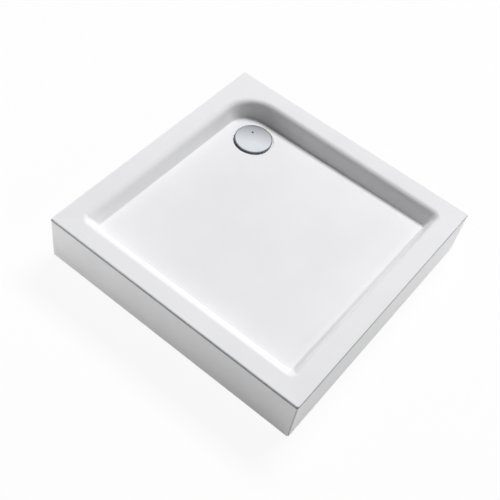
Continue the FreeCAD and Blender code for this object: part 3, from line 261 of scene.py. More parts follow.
def makeChromePlate(sizes):
    # chromium plate over a satin moulding: cool grey mirror, slightly soft, with fine wipe marks;
    # a painted dark reflection darkens the turned edge, and a painted reflection brightens the side
    # towards the front right
    material, tree, shader, place = newMaterial("chromePlate", {"Metallic": 1.0})
    marks = noise(tree, stretched(tree, place, (1, 0.15, 1), (0, 0, 0.6)), 6, 4)
    tone = colourRamp(tree, marks, [(0.3, "#DFE3E8"), (0.7, "#E3E6EB")])
    centred = addNode(tree, "ShaderNodeVectorMath", {"operation": "SUBTRACT"}, {
        0: place, 1: (drain.x * mm, drain.y * mm, 0),
    })
    level = addNode(tree, "ShaderNodeVectorMath", {"operation": "MULTIPLY"}, {
        0: centred.outputs["Vector"], 1: (1, 1, 0),
    }).outputs["Vector"]
    radius = addNode(tree, "ShaderNodeVectorMath", {"operation": "LENGTH"}, {0: level})
    out = calculated(tree, "DIVIDE", radius.outputs["Value"], sizes["edge"] * mm)
    # painted dark reflection: the plate turns dark grey in a ring at its turned edge
    paintedEdgeShade = colourRamp(tree, out, [
        (0.0, "#FFFFFF"), (0.93, "#FBFBFB"), (0.975, "#8E9295"), (1.0, "#6F7376"),
    ])
    # painted reflection: the plate is darker on the back-left side and brightens towards the front
    # right
    across = addNode(tree, "ShaderNodeVectorMath", {"operation": "DOT_PRODUCT"}, {
        0: level, 1: (0.5, -0.86, 0),
    })
    reflectionShare = addNode(tree, "ShaderNodeMapRange", {}, {
        "Value": across.outputs["Value"], "To Min": 0, "To Max": 1,
        "From Min": sizes["reflectionFrom"] * mm, "From Max": sizes["reflectionTo"] * mm,
    })
    reflectionTone = colourRamp(tree, reflectionShare.outputs["Result"], [(0.0, "#B9BBBD"), (1.0, "#FFFFFF")])
    for layer in (paintedEdgeShade, reflectionTone):
        mixed = addNode(tree, "ShaderNodeMix", {"data_type": "RGBA", "blend_type": "MULTIPLY"})
        tones = [socket for socket in mixed.inputs if socket.type == "RGBA"]
        mixed.inputs[0].default_value = 1
        tree.links.new(tone, tones[0])
        tree.links.new(layer, tones[1])
        tone = next(socket for socket in mixed.outputs if socket.type == "RGBA")
    tree.links.new(tone, shader.inputs["Base Color"])
    roughened(tree, shader, marks, 0.24, 0.3)
    bumped(tree, shader, marks, 0.002)
    return material


castAcrylic = makeCastAcrylic()
panelAcrylic = makePanelAcrylic()
glassFibre = makeGlassFibre()
polyurethaneFoam = makePolyurethaneFoam()
chipboard = makeChipboard()
galvanisedSheet = makeGalvanisedSheet()
zincPlate = makeZincPlate()
blackNylon = mouldedPlastic("blackNylon", 1.53, "#1F1F21", "#29292B", 0.42, 0.55, 0.8)
whitePolypropylene = mouldedPlastic("whitePolypropylene", 1.49, "#DEDEDB", "#E8E8E5", 0.3, 0.4, 1.2)
greyAbs = mouldedPlastic("greyAbs", 1.54, "#6C6F74", "#7A7D82", 0.3, 0.42, 1.0)
paleNylon = mouldedPlastic("paleNylon", 1.53, "#D2D2CF", "#DEDEDB", 0.38, 0.5, 1.0)
nitrileRubber = makeNitrileRubber()
closedCellFoam = makeClosedCellFoam()
# painted shadow: this grey on the joint lip darkens the seam under the rim's edge
seamShadowVinyl = mouldedPlastic("seamShadowGrey", 1.53, "#909295", "#9A9C9F", 0.5, 0.6, 1.0)
chromePlate = makeChromePlate(plateSizes)
print("materials made:", len(bpy.data.materials))


# helpers that form pieces, hang them on their bodies and hide the CAD solids they stand for


def applied(piece):  # turns live modifiers into plain mesh
    graph = bpy.context.evaluated_depsgraph_get()
    mesh = bpy.data.meshes.new_from_object(piece.evaluated_get(graph), depsgraph=graph)
    piece.modifiers.clear()
    piece.data = mesh


def smoothed(bm, sharp):  # smooth faces, with sharp edges past an angle in degrees
    for face in bm.faces:
        face.smooth = True
    for edge in bm.edges:
        edge.smooth = edge.is_manifold and edge.calc_face_angle(0) < math.radians(sharp)


def newObject(name, bm, material):
    mesh = bpy.data.meshes.new(name)
    bm.to_mesh(mesh)
    bm.free()
    if "custom_normal" in mesh.attributes:  # left over from a CAD solid's own mesh
        mesh.attributes.remove(mesh.attributes["custom_normal"])
    mesh.materials.append(material)
    piece = bpy.data.objects.new(name, mesh)
    scene.collection.objects.link(piece)
    return piece


def levelNormals(piece):  # flat faces stay flat beside small roundings
    weighted = piece.modifiers.new("levelNormals", "WEIGHTED_NORMAL")
    weighted.keep_sharp = True
    applied(piece)


def fitted(piece, body, slot, *nodes):
    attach(piece, body)
    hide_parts(*nodes)
    return piece


def roundedSquare(half, radii, steps, across=None):
    # plan of a square, or of an oblong with another half width across, with four corner radii
    across = across or half
    corners = [(1, -1), (1, 1), (-1, 1), (-1, -1)]
    points = []
    for number, ((sx, sy), radius) in enumerate(zip(corners, radii)):
        centre = Vector((sx * (across - radius), sy * (half - radius)))
        for step in range(steps["corner"] + 1):
            angle = math.radians(90 * (number - 1) + 90 * step / steps["corner"])
            outward = Vector((math.cos(angle), math.sin(angle)))
            points.append((centre + outward * radius, outward))
        nextX, nextY = corners[(number + 1) % 4]
        nextRadius = radii[(number + 1) % 4]
        outward = points[-1][1]
        start = points[-1][0]
        nextCentre = Vector((nextX * (across - nextRadius), nextY * (half - nextRadius)))
        end = nextCentre + outward * nextRadius
        for step in range(1, steps["side"]):
            points.append((start.lerp(end, step / steps["side"]), outward))
    return points


def ring(bm, points):
    return [bm.verts.new(Vector(point) * mm) for point in points]


def skin(bm, rings):  # joins neighbouring rings of equal count with quads
    for lower, upper in zip(rings, rings[1:]):
        for place in range(len(lower)):
            after = (place + 1) % len(lower)
            bm.faces.new((lower[place], lower[after], upper[after], upper[place]))


def fillBetween(bm, outer, inner):  # a flat face with a hole
    edges = []
    for loop in (outer, inner):
        for place, vert in enumerate(loop):
            edges.append(bm.edges.get((vert, loop[(place + 1) % len(loop)])))
    bmesh.ops.triangle_fill(bm, edges=edges, use_beauty=True)


def arc(corner, first, second, radius, steps):
    # points of a rounding of this radius in a corner whose two sides leave along first and second
    first, second = first.normalized(), second.normalized()
    half = first.angle(second) / 2
    reach = radius / math.tan(half)
    centre = corner + (first + second).normalized() * (radius / math.sin(half))
    start, end = corner + first * reach - centre, corner + second * reach - centre
    turn = start.angle(end)
    points = []
    for step in range(steps + 1):
        share = step / steps
        weights = math.sin((1 - share) * turn), math.sin(share * turn)
        points.append(centre + (start * weights[0] + end * weights[1]) / math.sin(turn))
    return points


def lathe(name, outline, material, middle, steps=96, sharp=30, axis="z"):
    # turns a closed outline of (radius, height) points round an upright or lengthwise axis
    bm = bmesh.new()
    columns = []
    for step in range(steps):
        angle = math.tau * step / steps
        column = []
        for radius, height in outline:
            across = (radius * math.cos(angle), radius * math.sin(angle))
            point = (*across, height) if axis == "z" else (height, *across)
            column.append(bm.verts.new((Vector(point) + Vector(middle)) * mm))
        columns.append(column)
    count = len(outline)
    for left, right in zip(columns, columns[1:] + columns[:1]):
        for place in range(count):
            after = (place + 1) % count
            bm.faces.new((left[place], left[after], right[after], right[place]))
    bmesh.ops.remove_doubles(bm, verts=bm.verts, dist=0.001 * mm)
    bmesh.ops.recalc_face_normals(bm, faces=bm.faces)
    smoothed(bm, sharp)
    return newObject(name, bm, material)


def softened(outline, radius, steps=3):  # rounds every corner of a closed (radius, height) outline
    points = []
    for place, here in enumerate(outline):
        before = Vector(outline[place - 1])
        after = Vector(outline[(place + 1) % len(outline)])
        corner = Vector(here)
        limit = min((before - corner).length, (after - corner).length) / 2.2
        half = (before - corner).angle(after - corner) / 2
        size = min(radius, limit * math.tan(half))
        bend = arc(corner, before - corner, after - corner, size, steps)
        points += [tuple(point) for point in bend]
    return points


# the tray's shell, all lengths in millimetres

shellSizes = {
    "floorLevel": 112,  # height of the floor at the middle of the tray
    "floorFall": 1.25,  # degrees, towards the drain corner
    "rimWidth": 58,
    "rimFall": 2.0,  # degrees that the rim's top falls towards the well
    "wellRun": 28,  # plan width of the well wall at the front and back
    "wellSideRun": 22,
    "wellCorners": (18, 18, 105, 18),  # front right, back right, back left and front left
    "floorCorners": (12, 12, 62, 12),
    "rimRounding": 19,
    "floorRounding": 5,
    "edgeRounding": 2,
    "edgeInset": 0.6,  # the rim's edge stands back by this much behind its sealing lip
    "outerCorner": 7,
    "edgeBand": 5.5,  # height of the rim's edge
    "rimSheet": 5,
    "shellWall": 3.5,
    "shellFloor": 5,
    "skirtSetback": 7,
    "skirtDepth": 22,
    "skirtWall": 4,
    "seatRadius": 60,
    "seatRounding": 1,
    "holeRadius": 45,
    "holeRounding": 0.5,
    # distance of the loops that keep the shading even beside the seat, the floor's rounding and
    # the rim's roundings
    "seatApron": 3,
    "floorLedge": 2.5,
    "rimLedge": 1.5,
}


def makeShell(sizes):
    steps = {"corner": 14, "side": 22, "foot": 6, "mouth": 16, "edge": 10, "circle": 128}
    slope = math.tan(math.radians(sizes["floorFall"])) / math.sqrt(2)
    wellHalf = trayHalf - sizes["rimWidth"]
    floorHalf = wellHalf - sizes["wellRun"]
    floorAcross = wellHalf - sizes["wellSideRun"]

    def floorAt(x, y, drop=0):
        return Vector((x, y, sizes["floorLevel"] - drop + slope * (x - y)))

    def rimDrop(point):
        start = trayHalf - sizes["edgeRounding"] - sizes["rimLedge"]
        inside = start - max(abs(point.x), abs(point.y))
        return math.tan(math.radians(sizes["rimFall"])) * max(min(inside, sizes["rimWidth"]), 0)

    def tub(top, grow, drop):
        mouthRadii = [radius + grow for radius in sizes["wellCorners"]]
        footRadii = [radius + grow for radius in sizes["floorCorners"]]
        upper = roundedSquare(wellHalf + grow, mouthRadii, steps)
        lower = roundedSquare(floorHalf + grow, footRadii, steps, floorAcross + grow)
        return [
            (Vector((*mouth, top)), floorAt(*foot, drop), Vector((*outward, 0)))
            for (mouth, outward), (foot, _) in zip(upper, lower)
        ]

    def plainRing(half, radius, height):
        return [(*point, height) for point, _ in roundedSquare(half, [radius] * 4, steps)]

    bm = bmesh.new()
    columns = []  # one for each point round the well, from the floor up to the flat of the rim
    for mouth, foot, outward in tub(rimTop, 0, 0):
        along = Vector((-outward.y, outward.x, 0))
        wall = foot - mouth
        down = wall - along * wall.dot(along)
        fall = floorAt(foot.x - outward.x, foot.y - outward.y) - foot
        footAlong = along + Vector((0, 0, slope * (along.x - along.y)))
        up = -wall + footAlong.normalized() * wall.dot(footAlong.normalized())
        low = arc(foot, fall, up, sizes["floorRounding"], steps["foot"])
        high = arc(mouth, down, outward, sizes["rimRounding"], steps["mouth"])
        wallPoints = [low[-1].lerp(high[0], share) for share in (0.08, 0.36, 0.64, 0.92)]
        shelf = [low[0] + fall * sizes["floorLedge"]]
        rim = [high[-1] + outward * sizes["rimLedge"]]
        for point in high + rim:
            point.z -= rimDrop(point)
        columns.append(shelf + low + wallPoints + high + rim)
    wellRings = [ring(bm, points) for points in zip(*columns)]

    edge = sizes["edgeRounding"]
    ledgeCorner = max(sizes["outerCorner"] - edge - 1, 0.6)
    rimRings = [ring(bm, plainRing(trayHalf - edge - sizes["rimLedge"], ledgeCorner, rimTop))]
    for step in range(steps["edge"] + 1):
        angle = math.radians(90 * step / steps["edge"])
        inset = edge * (1 - math.sin(angle)) + sizes["edgeInset"]
        level = rimTop - edge * (1 - math.cos(angle))
        rimRings.append(ring(bm, plainRing(trayHalf - inset, sizes["outerCorner"] - inset, level)))
    bandFoot = rimTop - sizes["edgeBand"]
    edgeOut = trayHalf - sizes["edgeInset"]
    skirtFoot = bandFoot - sizes["skirtDepth"]
    skirtOut = trayHalf - sizes["skirtSetback"]
    skirtIn = skirtOut - sizes["skirtWall"]
    under = rimTop - sizes["rimSheet"]
    for half, radius, level in (  # down the rim's edge, in under it and round the skirt
        (edgeOut, 6.4, bandFoot + 0.6), (edgeOut - 0.2, 6.2, bandFoot + 0.2),
        (edgeOut - 0.6, 5.8, bandFoot),
        (skirtOut + 0.5, 7.2, bandFoot), (skirtOut, 7, bandFoot - 0.5),
        (skirtOut, 7, skirtFoot + 0.8), (skirtOut - 0.8, 6.5, skirtFoot),
        (skirtIn + 0.8, 4, skirtFoot), (skirtIn, 3.5, skirtFoot + 0.8),
        (skirtIn, 3.5, under),
    ):
        rimRings.append(ring(bm, plainRing(half, radius, level)))

    outside = tub(under, sizes["shellWall"], sizes["shellFloor"])
    tubRings = [
        ring(bm, [upper for upper, _, _ in outside]),
        ring(bm, [lower for _, lower, _ in outside]),
    ]
    skin(bm, wellRings + rimRings + tubRings)

    def circle(radius, level=None, drop=0):
        points = []
        for step in range(steps["circle"]):
            angle = math.tau * step / steps["circle"]
            x = drain.x + radius * math.cos(angle)
            y = drain.y + radius * math.sin(angle)
            points.append(floorAt(x, y, drop) if level is None else (x, y, level))
        return ring(bm, points)

    # from the floor over the seat's rounding down to the seat, and through the hole
    seat, lip = sizes["seatRadius"], sizes["seatRounding"]
    hole, bend = sizes["holeRadius"], sizes["holeRounding"]
    seatRings = [
        circle(seat + sizes["seatApron"]), circle(seat + lip),
        circle(seat + lip * 0.3, drop=lip * 0.1), circle(seat, drop=min(lip * 0.35, 0.3)),
        circle(seat, seatLevel),
        circle(seat - 0.6, seatLevel), circle(hole + bend * 3, seatLevel),
        circle(hole + 0.3, seatLevel - 0.1), circle(hole, seatLevel - bend),
        circle(hole, drop=sizes["shellFloor"]),
    ]
    skin(bm, seatRings)
    fillBetween(bm, wellRings[0], seatRings[0])
    fillBetween(bm, tubRings[-1], seatRings[-1])
    bmesh.ops.recalc_face_normals(bm, faces=bm.faces)
    smoothed(bm, 50)
    shell = newObject("trayShell", bm, castAcrylic)
    levelNormals(shell)
    return fitted(shell, "tray", "white_acrylic", "tray_shell")


makeShell(shellSizes)
print("tray shell formed")


# pieces dressed from their solids


def dressed(node, name, material, slot, body, edge, sharp=35):
    # a joined-up copy of a CAD solid, with its hard edges softened by a small radius in millimetres
    bm = bmesh.new()
    bm.from_mesh(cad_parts[node].data)
    bmesh.ops.remove_doubles(bm, verts=bm.verts, dist=0.002 * mm)
    bmesh.ops.dissolve_limit(bm, angle_limit=math.radians(0.5), verts=bm.verts, edges=bm.edges)
    smoothed(bm, sharp)
    piece = newObject(name, bm, material)
    if edge:
        bevel = piece.modifiers.new("softEdges", "BEVEL")
        bevel.width = edge * mm
        bevel.segments = 2
        bevel.limit_method = "ANGLE"
        bevel.angle_limit = math.radians(sharp)
        bevel.use_clamp_overlap = True
    levelNormals(piece)
    return fitted(piece, body, slot, node)


dressedPieces = [
    # node, piece, material, slot, body, softened edge
    ("corner_strip", "cornerStrip", paleNylon, "clip_plastic", "front_apron", 0.4),
    ("front_panel_clips", "frontPanelClips", paleNylon, "clip_plastic", "front_apron", 0.4),
    ("side_panel_clips", "sidePanelClips", paleNylon, "clip_plastic", "side_apron", 0.4),
    ("glass_fibre_backing", "glassFibreBacking", glassFibre, "glass_fibre", "tray", 0.6),
    ("base_board", "baseBoard", chipboard, "particle_board", "tray", 0.4),
    ("leg_rail_left", "legRailLeft", galvanisedSheet, "zinc_steel", "tray", 0.4),
    ("leg_rail_right", "legRailRight", galvanisedSheet, "zinc_steel", "tray", 0.4),
    ("leg_rail_short", "legRailShort", galvanisedSheet, "zinc_steel", "tray", 0.4),
    ("front_panel_brackets", "frontPanelBrackets", galvanisedSheet, "zinc_steel", "tray", 0.3),
    ("side_panel_brackets", "sidePanelBrackets", galvanisedSheet, "zinc_steel", "tray", 0.3),
    ("trap_head", "trapHead", whitePolypropylene, "trap_plastic", "tray", 0.4),
    ("trap_pot", "trapPot", whitePolypropylene, "trap_plastic", "tray", 0.4),
    ("union_nut", "unionNut", greyAbs, "grey_plastic", "tray", 0.4),
    ("outlet_pipe", "outletPipe", whitePolypropylene, "trap_plastic", "outlet", 0.4),
    ("dip_tube", "dipTube", greyAbs, "grey_plastic", "siphon", 0.3),
    ("clamping_collar", "clampingCollar", chromePlate, "chrome_plate", "tray", 0.3),
    ("cover_carrier", "coverCarrier", greyAbs, "grey_plastic", "cover", 0.3),
]
for node, name, material, slot, body, edge in dressedPieces:
    dressed(node, name, material, slot, body, edge)
feet = ("left_front", "left_back", "right_front", "right_back", "side")
for foot in feet:
    pieceName = "footPad" + foot.title().replace("_", "")
    dressed(f"foot_pad_{foot}", pieceName, blackNylon, "foot_plastic", f"pad_{foot}", 0.5)

# the panels are shaded flat: their roundings are too small to show, and their faces stay even
dressed("front_panel", "frontPanel", panelAcrylic, "panel_acrylic", "front_apron", edge=0, sharp=2)
dressed("side_panel", "sidePanel", panelAcrylic, "panel_acrylic", "side_apron", edge=0, sharp=2)
print("pieces dressed:", len(dressedPieces) + len(feet) + 2)


# pieces that repeat, laid out by Geometry Nodes

fastenerSizes = {
    "screwHead": (4, 2.2),  # radius and height
    "screwShank": (2, 9),
    "screwRecess": (2.6, 0.7, 1.3),  # reach, width and depth of the cross recess
    "nutFlats": 17,
    "nutHeight": 8,
    "nutBore": 5.05,
    "nutChamfer": 0.9,
    "rodRadius": 5,
    "rodPitch": 1.5,
    "rodThread": 0.55,  # depth of the thread
    "threadOverlap": 0.6,  # how far the thread reaches into the rod's core
    "rodEnd": 0.4,  # free of thread at the upper end
    "spannerFlats": 13,
    "spannerHeight": 7,
    "spannerChamfer": 0.7,
    "spannerGap": 0.3,  # above the pad
    "largestTurn": 180,  # degrees by which a screw is turned at random
    "turnSeed": 7,
}


def islands(node):  # the loose parts of a CAD solid as (low, high) corners in millimetres
    bm = bmesh.new()
    bm.from_mesh(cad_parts[node].data)
    bmesh.ops.remove_doubles(bm, verts=bm.verts, dist=0.002 * mm)
    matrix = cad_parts[node].matrix_world
    left, found = set(bm.verts), []
    while left:
        group, front = set(), [left.pop()]
        while front:
            vert = front.pop()
            group.add(vert)
            for edge in vert.link_edges:
                other = edge.other_vert(vert)
                if other in left:
                    left.discard(other)
                    front.append(other)
        points = [matrix @ vert.co / mm for vert in group]
        low = Vector([min(point[axis] for point in points) for axis in range(3)])
        high = Vector([max(point[axis] for point in points) for axis in range(3)])
        found.append((low, high))
    bm.free()
    return sorted(found, key=lambda pair: tuple(pair[0]))


def repeated(name, unit, places, material, turn, seed):
    # one copy of the unit at each place, turned about its own axis by up to turn degrees
    tree = bpy.data.node_groups.new(name + "Layout", "GeometryNodeTree")
    for label, kind in (
        ("Places", "NodeSocketGeometry"), ("Unit", "NodeSocketObject"),
        ("Largest Turn", "NodeSocketFloat"), ("Seed", "NodeSocketInt"),
        ("Material", "NodeSocketMaterial"),
    ):
        tree.interface.new_socket(label, in_out="INPUT", socket_type=kind)
    tree.interface.new_socket("Geometry", in_out="OUTPUT", socket_type="NodeSocketGeometry")
    given = addNode(tree, "NodeGroupInput").outputs
    shape = addNode(tree, "GeometryNodeObjectInfo", {}, {"Object": given["Unit"]})
    chance = tree.nodes.new("FunctionNodeRandomValue")
    chance.data_type = "FLOAT"
    floats = {socket.name: socket for socket in chance.inputs if socket.enabled}
    tree.links.new(given["Largest Turn"], floats["Max"])
    tree.links.new(given["Seed"], floats["Seed"])
    drawn = next(socket for socket in chance.outputs if socket.enabled)
    angle = addNode(tree, "ShaderNodeCombineXYZ", {}, {"Z": drawn})
    copies = addNode(tree, "GeometryNodeInstanceOnPoints", {}, {
        "Points": given["Places"], "Instance": shape.outputs["Geometry"],
        "Rotation": angle.outputs["Vector"],
    })
    real = addNode(tree, "GeometryNodeRealizeInstances", {}, {
        "Geometry": copies.outputs["Instances"],
    })
    painted = addNode(tree, "GeometryNodeSetMaterial", {}, {
        "Geometry": real.outputs["Geometry"], "Material": given["Material"],
    })
    addNode(tree, "NodeGroupOutput", {}, {"Geometry": painted.outputs["Geometry"]})

    bm = bmesh.new()
    for place in places:
        bm.verts.new(Vector(place) * mm)
    piece = newObject(name, bm, material)
    layout = piece.modifiers.new("layout", "NODES")
    layout.node_group = tree
    values = {"Unit": unit, "Largest Turn": math.radians(turn), "Seed": seed, "Material": material}
    for socket in tree.interface.items_tree:
        if socket.name in values:
            layout[socket.identifier] = values[socket.name]
    applied(piece)
    piece.data.name = name
    bpy.data.objects.remove(unit)
    return piece


def joined(name, bm, parts, material):  # several meshes as one object; the parts are used up
    for part in parts:
        bm.from_mesh(part.data)
        bpy.data.objects.remove(part)
    return newObject(name, bm, material)


def screwUnit(sizes):  # pan head below, shank above; the recess is cut into the underside
    headRadius, headHeight = sizes["screwHead"]
    shank, length = sizes["screwShank"]
    reach, width, depth = sizes["screwRecess"]
    end = headHeight + length
    outline = [
        (0, 0.0), (headRadius * 0.55, 0.05), (headRadius * 0.85, 0.35), (headRadius, 1.1),
        (headRadius, headHeight), (shank, headHeight), (shank, end), (0, end),
    ]
    unit = lathe("screwUnit", outline, zincPlate, (0, 0, 0), steps=32, sharp=40)
    for number in range(2):
        bm = bmesh.new()
        bmesh.ops.create_cube(bm, size=1)
        size = Vector((reach * 2, width, depth * 2)) * mm
        bmesh.ops.scale(bm, vec=size, verts=bm.verts)
        quarter = Matrix.Rotation(math.radians(90 * number), 3, "Z")
        bmesh.ops.rotate(bm, matrix=quarter, verts=bm.verts)
        cutter = newObject("recessCutter", bm, zincPlate)
        cut = unit.modifiers.new("recess", "BOOLEAN")
        cut.object = cutter
        cut.operation = "DIFFERENCE"
        cut.solver = "EXACT"
        applied(unit)
        bpy.data.objects.remove(cutter)
    return unit


def hexagonBody(name, flats, low, high, bore, chamfer):
    # a hexagon with chamfered corners: the plan is a hexagon, cut back towards both ends
    bm = bmesh.new()
    steps = 60
    angles = [math.tau * step / steps for step in range(steps)]
    tip = flats / math.sqrt(3)
    rings = []
    fall = chamfer * 0.58  # a chamfer of 30 degrees
    for level, reach in ((low, -chamfer), (low + fall, 0), (high - fall, 0), (high, -chamfer)):
        points = []
        for angle in angles:
            side = (angle + math.pi / 6) % (math.pi / 3) - math.pi / 6
            radius = min(flats / 2 / math.cos(side), tip + reach)
            points.append((radius * math.cos(angle), radius * math.sin(angle), level))
        rings.append(ring(bm, points))
    for level in (high, low):
        rings.append(ring(bm, [(bore * math.cos(a), bore * math.sin(a), level) for a in angles]))
    skin(bm, rings + rings[:1])
    bmesh.ops.recalc_face_normals(bm, faces=bm.faces)
    smoothed(bm, 25)
    return newObject(name, bm, zincPlate)


def makeFasteners(sizes):
    seed = sizes["turnSeed"]
    screwNodes = (("rail_screws", "railScrews", 16), ("bracket_screws", "bracketScrews", 8))
    for node, name, count in screwNodes:
        found = islands(node)
        base = found[0][0].z
        middles = [(low + high) / 2 for low, high in found]
        places = [(middle.x, middle.y, base) for middle in middles]
        turn = sizes["largestTurn"]
        screws = repeated(name, screwUnit(sizes), places, zincPlate, turn, seed + count)
        fitted(screws, "tray", "zinc_steel", node)
    for node, name in (("weld_nuts", "weldNuts"), ("lock_nuts", "lockNuts")):
        places = [
            ((low.x + high.x) / 2, (low.y + high.y) / 2, low.z) for low, high in islands(node)
        ]
        flats, height = sizes["nutFlats"], sizes["nutHeight"]
        unit = hexagonBody("nutUnit", flats, 0, height, sizes["nutBore"], sizes["nutChamfer"])
        nuts = repeated(name, unit, places, zincPlate, 0, seed)
        fitted(nuts, "tray", "zinc_steel", node)
    radius, pitch, depth = sizes["rodRadius"], sizes["rodPitch"], sizes["rodThread"]
    root = radius - depth
    buried = root - sizes["threadOverlap"]
    coreRadius = root - 0.2
    for foot in feet:
        low, high = (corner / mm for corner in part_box(f"threaded_rod_{foot}"))
        middle = (low + high) / 2
        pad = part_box(f"foot_pad_{foot}")[1].z / mm
        gripLow = pad + sizes["spannerGap"]
        gripHigh = gripLow + sizes["spannerHeight"]
        unit = lathe("threadUnit", [
            (buried, 0), (root, 0), (radius, pitch * 0.42), (radius, pitch * 0.58),
            (root, pitch), (buried, pitch),
        ], zincPlate, (0, 0, 0), steps=36, sharp=30)
        turns = int((high.z - gripHigh - sizes["rodEnd"]) / pitch)
        places = [(middle.x, middle.y, gripHigh + pitch * number) for number in range(turns)]
        thread = repeated("rodThread", unit, places, zincPlate, 0, seed)
        core = lathe("rodCore", softened([
            (0, low.z), (radius, low.z), (radius, gripLow + 1), (coreRadius, gripLow + 1),
            (coreRadius, high.z), (0, high.z),
        ], 0.3), zincPlate, (middle.x, middle.y, 0), steps=36)
        flats, chamfer = sizes["spannerFlats"], sizes["spannerChamfer"]
        grip = hexagonBody("rodGrip", flats, gripLow, gripHigh, 3, chamfer)
        grip.data.transform(Matrix.Translation(Vector((middle.x, middle.y, 0)) * mm))
        name = "threadedRod" + foot.title().replace("_", "")
        rod = joined(name, bmesh.new(), [core, thread, grip], zincPlate)
        fitted(rod, f"rod_{foot}", "zinc_steel", f"threaded_rod_{foot}")


makeFasteners(fastenerSizes)
print("fasteners laid out")


# soft and hidden pieces, rounded where they are cut or moulded


def turnedPiece(node, name, outline, rounding, material, slot, body, axis="z"):
    low, high = (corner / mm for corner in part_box(node))
    middle = (low + high) / 2
    place = (middle.x, middle.y, low.z) if axis == "z" else (low.x, middle.y, middle.z)
    piece = lathe(name, softened(outline, rounding), material, place, axis=axis)
    return fitted(piece, body, slot, node)


def flatRing(node, name, inner, rounding, material, slot, body, axis="z"):
    # a ring as wide and as thick as its CAD solid
    low, high = (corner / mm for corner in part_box(node))
    outer = (high.y - low.y) / 2
    depth = high.z - low.z if axis == "z" else high.x - low.x
    outline = [(inner, 0), (outer, 0), (outer, depth), (inner, depth)]
    return turnedPiece(node, name, outline, rounding, material, slot, body, axis)


def strip(node, name, rounding, material, slot, body):  # a straight tape with rounded edges
    low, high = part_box(node)
    bm = bmesh.new()
    bmesh.ops.create_cube(bm, size=1)
    bmesh.ops.scale(bm, vec=high - low, verts=bm.verts)
    bmesh.ops.translate(bm, vec=(low + high) / 2, verts=bm.verts)
    bmesh.ops.bevel(bm, geom=bm.edges[:], offset=rounding * mm, segments=2, affect="EDGES")
    smoothed(bm, 35)
    return fitted(newObject(name, bm, material), body, slot, node)


weirSizes = {"radius": 38, "wall": 2, "foot": 4, "footHeight": 2, "rounding": 0.5}
softSizes = {
    "gasketBore": 45,
    "gasketRounding": 0.7,
    "sealBore": 45,
    "sealRounding": 0.4,
    "lipWidth": 1.1,  # of the dip tube's ring
    "lipRounding": 0.5,
    "ballBore": 26.3,
    "tapeRounding": 0.5,
}
# the joint's lip: lower and upper edge below the rim's top, setback from the tray's edge, how far
# its ends stay short of the tray's, its rounding, and how far it stays clear of the rim
lipSizes = {"low": 9.3, "high": 2.7, "inset": 0.05, "end": 1, "rounding": 0.4, "clear": 0.05}


def makeJointLip(sizes):
    # sealing lip that laps over the rim's lower edge and closes the joint above the panels, grey as
    # a painted shadow
    end = trayHalf - sizes["end"]
    corner = shellSizes["outerCorner"]
    middle = Vector((trayHalf - corner, corner - trayHalf))
    steps = 8
    plan = [(Vector((-end, middle.y)), Vector((0, -1)))]
    for step in range(steps + 1):
        angle = math.radians(-90 + 90 * step / steps)
        plan.append((middle.copy(), Vector((math.cos(angle), math.sin(angle)))))
    plan.append((Vector((middle.x, end)), Vector((1, 0))))
    bend, clear = sizes["rounding"], sizes["clear"]
    face = corner - sizes["inset"]
    back = corner - shellSizes["skirtSetback"] + clear
    inside = corner - shellSizes["edgeInset"] - clear * 2
    low, high = rimTop - sizes["low"], rimTop - sizes["high"]
    under = rimTop - shellSizes["edgeBand"] - clear
    section = [
        (back, low), (face - bend, low), (face, low + bend),
        (face, high - bend / 2), (face - bend / 2, high),
        (inside, high), (inside, under), (back, under),
    ]
    bm = bmesh.new()
    rows = [
        [bm.verts.new(Vector((*(start + outward * reach), level)) * mm) for start, outward in plan]
        for reach, level in section
    ]
    for lower, upper in zip(rows, rows[1:] + rows[:1]):
        for place in range(len(plan) - 1):
            bm.faces.new((lower[place], lower[place + 1], upper[place + 1], upper[place]))
    for place in (0, -1):
        bm.faces.new([row[place] for row in rows])
    bmesh.ops.recalc_face_normals(bm, faces=bm.faces)
    smoothed(bm, 35)
    lip = newObject("jointLip", bm, seamShadowVinyl)
    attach(lip, "tray")


def makeSoftPieces(soft, weir):
    low, high = (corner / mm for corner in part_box("trap_weir"))
    outer = weir["radius"]
    inner, foot = outer - weir["wall"], outer + weir["foot"]
    height, footHeight = high.z - low.z, weir["footHeight"]
    turnedPiece("trap_weir", "trapWeir", [
        (inner, 0), (foot, 0), (foot, footHeight),
        (outer, footHeight), (outer, height), (inner, height),
    ], weir["rounding"], whitePolypropylene, "trap_plastic", "tray")
    rubber = (nitrileRubber, "seal_rubber")
    sealBend, tapeBend = soft["sealRounding"], soft["tapeRounding"]
    tape = (closedCellFoam, "tape_foam", "tray")
    gasketBore, gasketBend = soft["gasketBore"], soft["gasketRounding"]
    flatRing("lower_gasket", "lowerGasket", gasketBore, gasketBend, *rubber, "tray")
    flatRing("upper_seal", "upperSeal", soft["sealBore"], sealBend, *rubber, "tray")
    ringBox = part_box("dip_tube_seal")
    lipBore = (ringBox[1].x - ringBox[0].x) / 2 / mm - soft["lipWidth"]
    flatRing("dip_tube_seal", "dipTubeSeal", lipBore, soft["lipRounding"], *rubber, "siphon")
    flatRing("outlet_seal", "outletSeal", soft["ballBore"], sealBend, *rubber, "tray", axis="x")
    strip("front_foam_tape", "frontFoamTape", tapeBend, *tape)
    strip("side_foam_tape", "sideFoamTape", tapeBend, *tape)


makeSoftPieces(softSizes, weirSizes)
makeJointLip(lipSizes)
dressed("foam_bed", "foamBed", polyurethaneFoam, "rigid_foam", "tray", edge=0.8)
print("seals, tapes and foam made")


# the drain cover

coverSizes = {
    "crown": 3,  # rise of the dome from its edge to the middle
    "sheet": 1.5,
    "edgeRounding": 2.5,
    "innerRounding": 1.5,
    "hole": 2.8,
    "holeOffset": 24,
    "chamfer": 0.7,
}


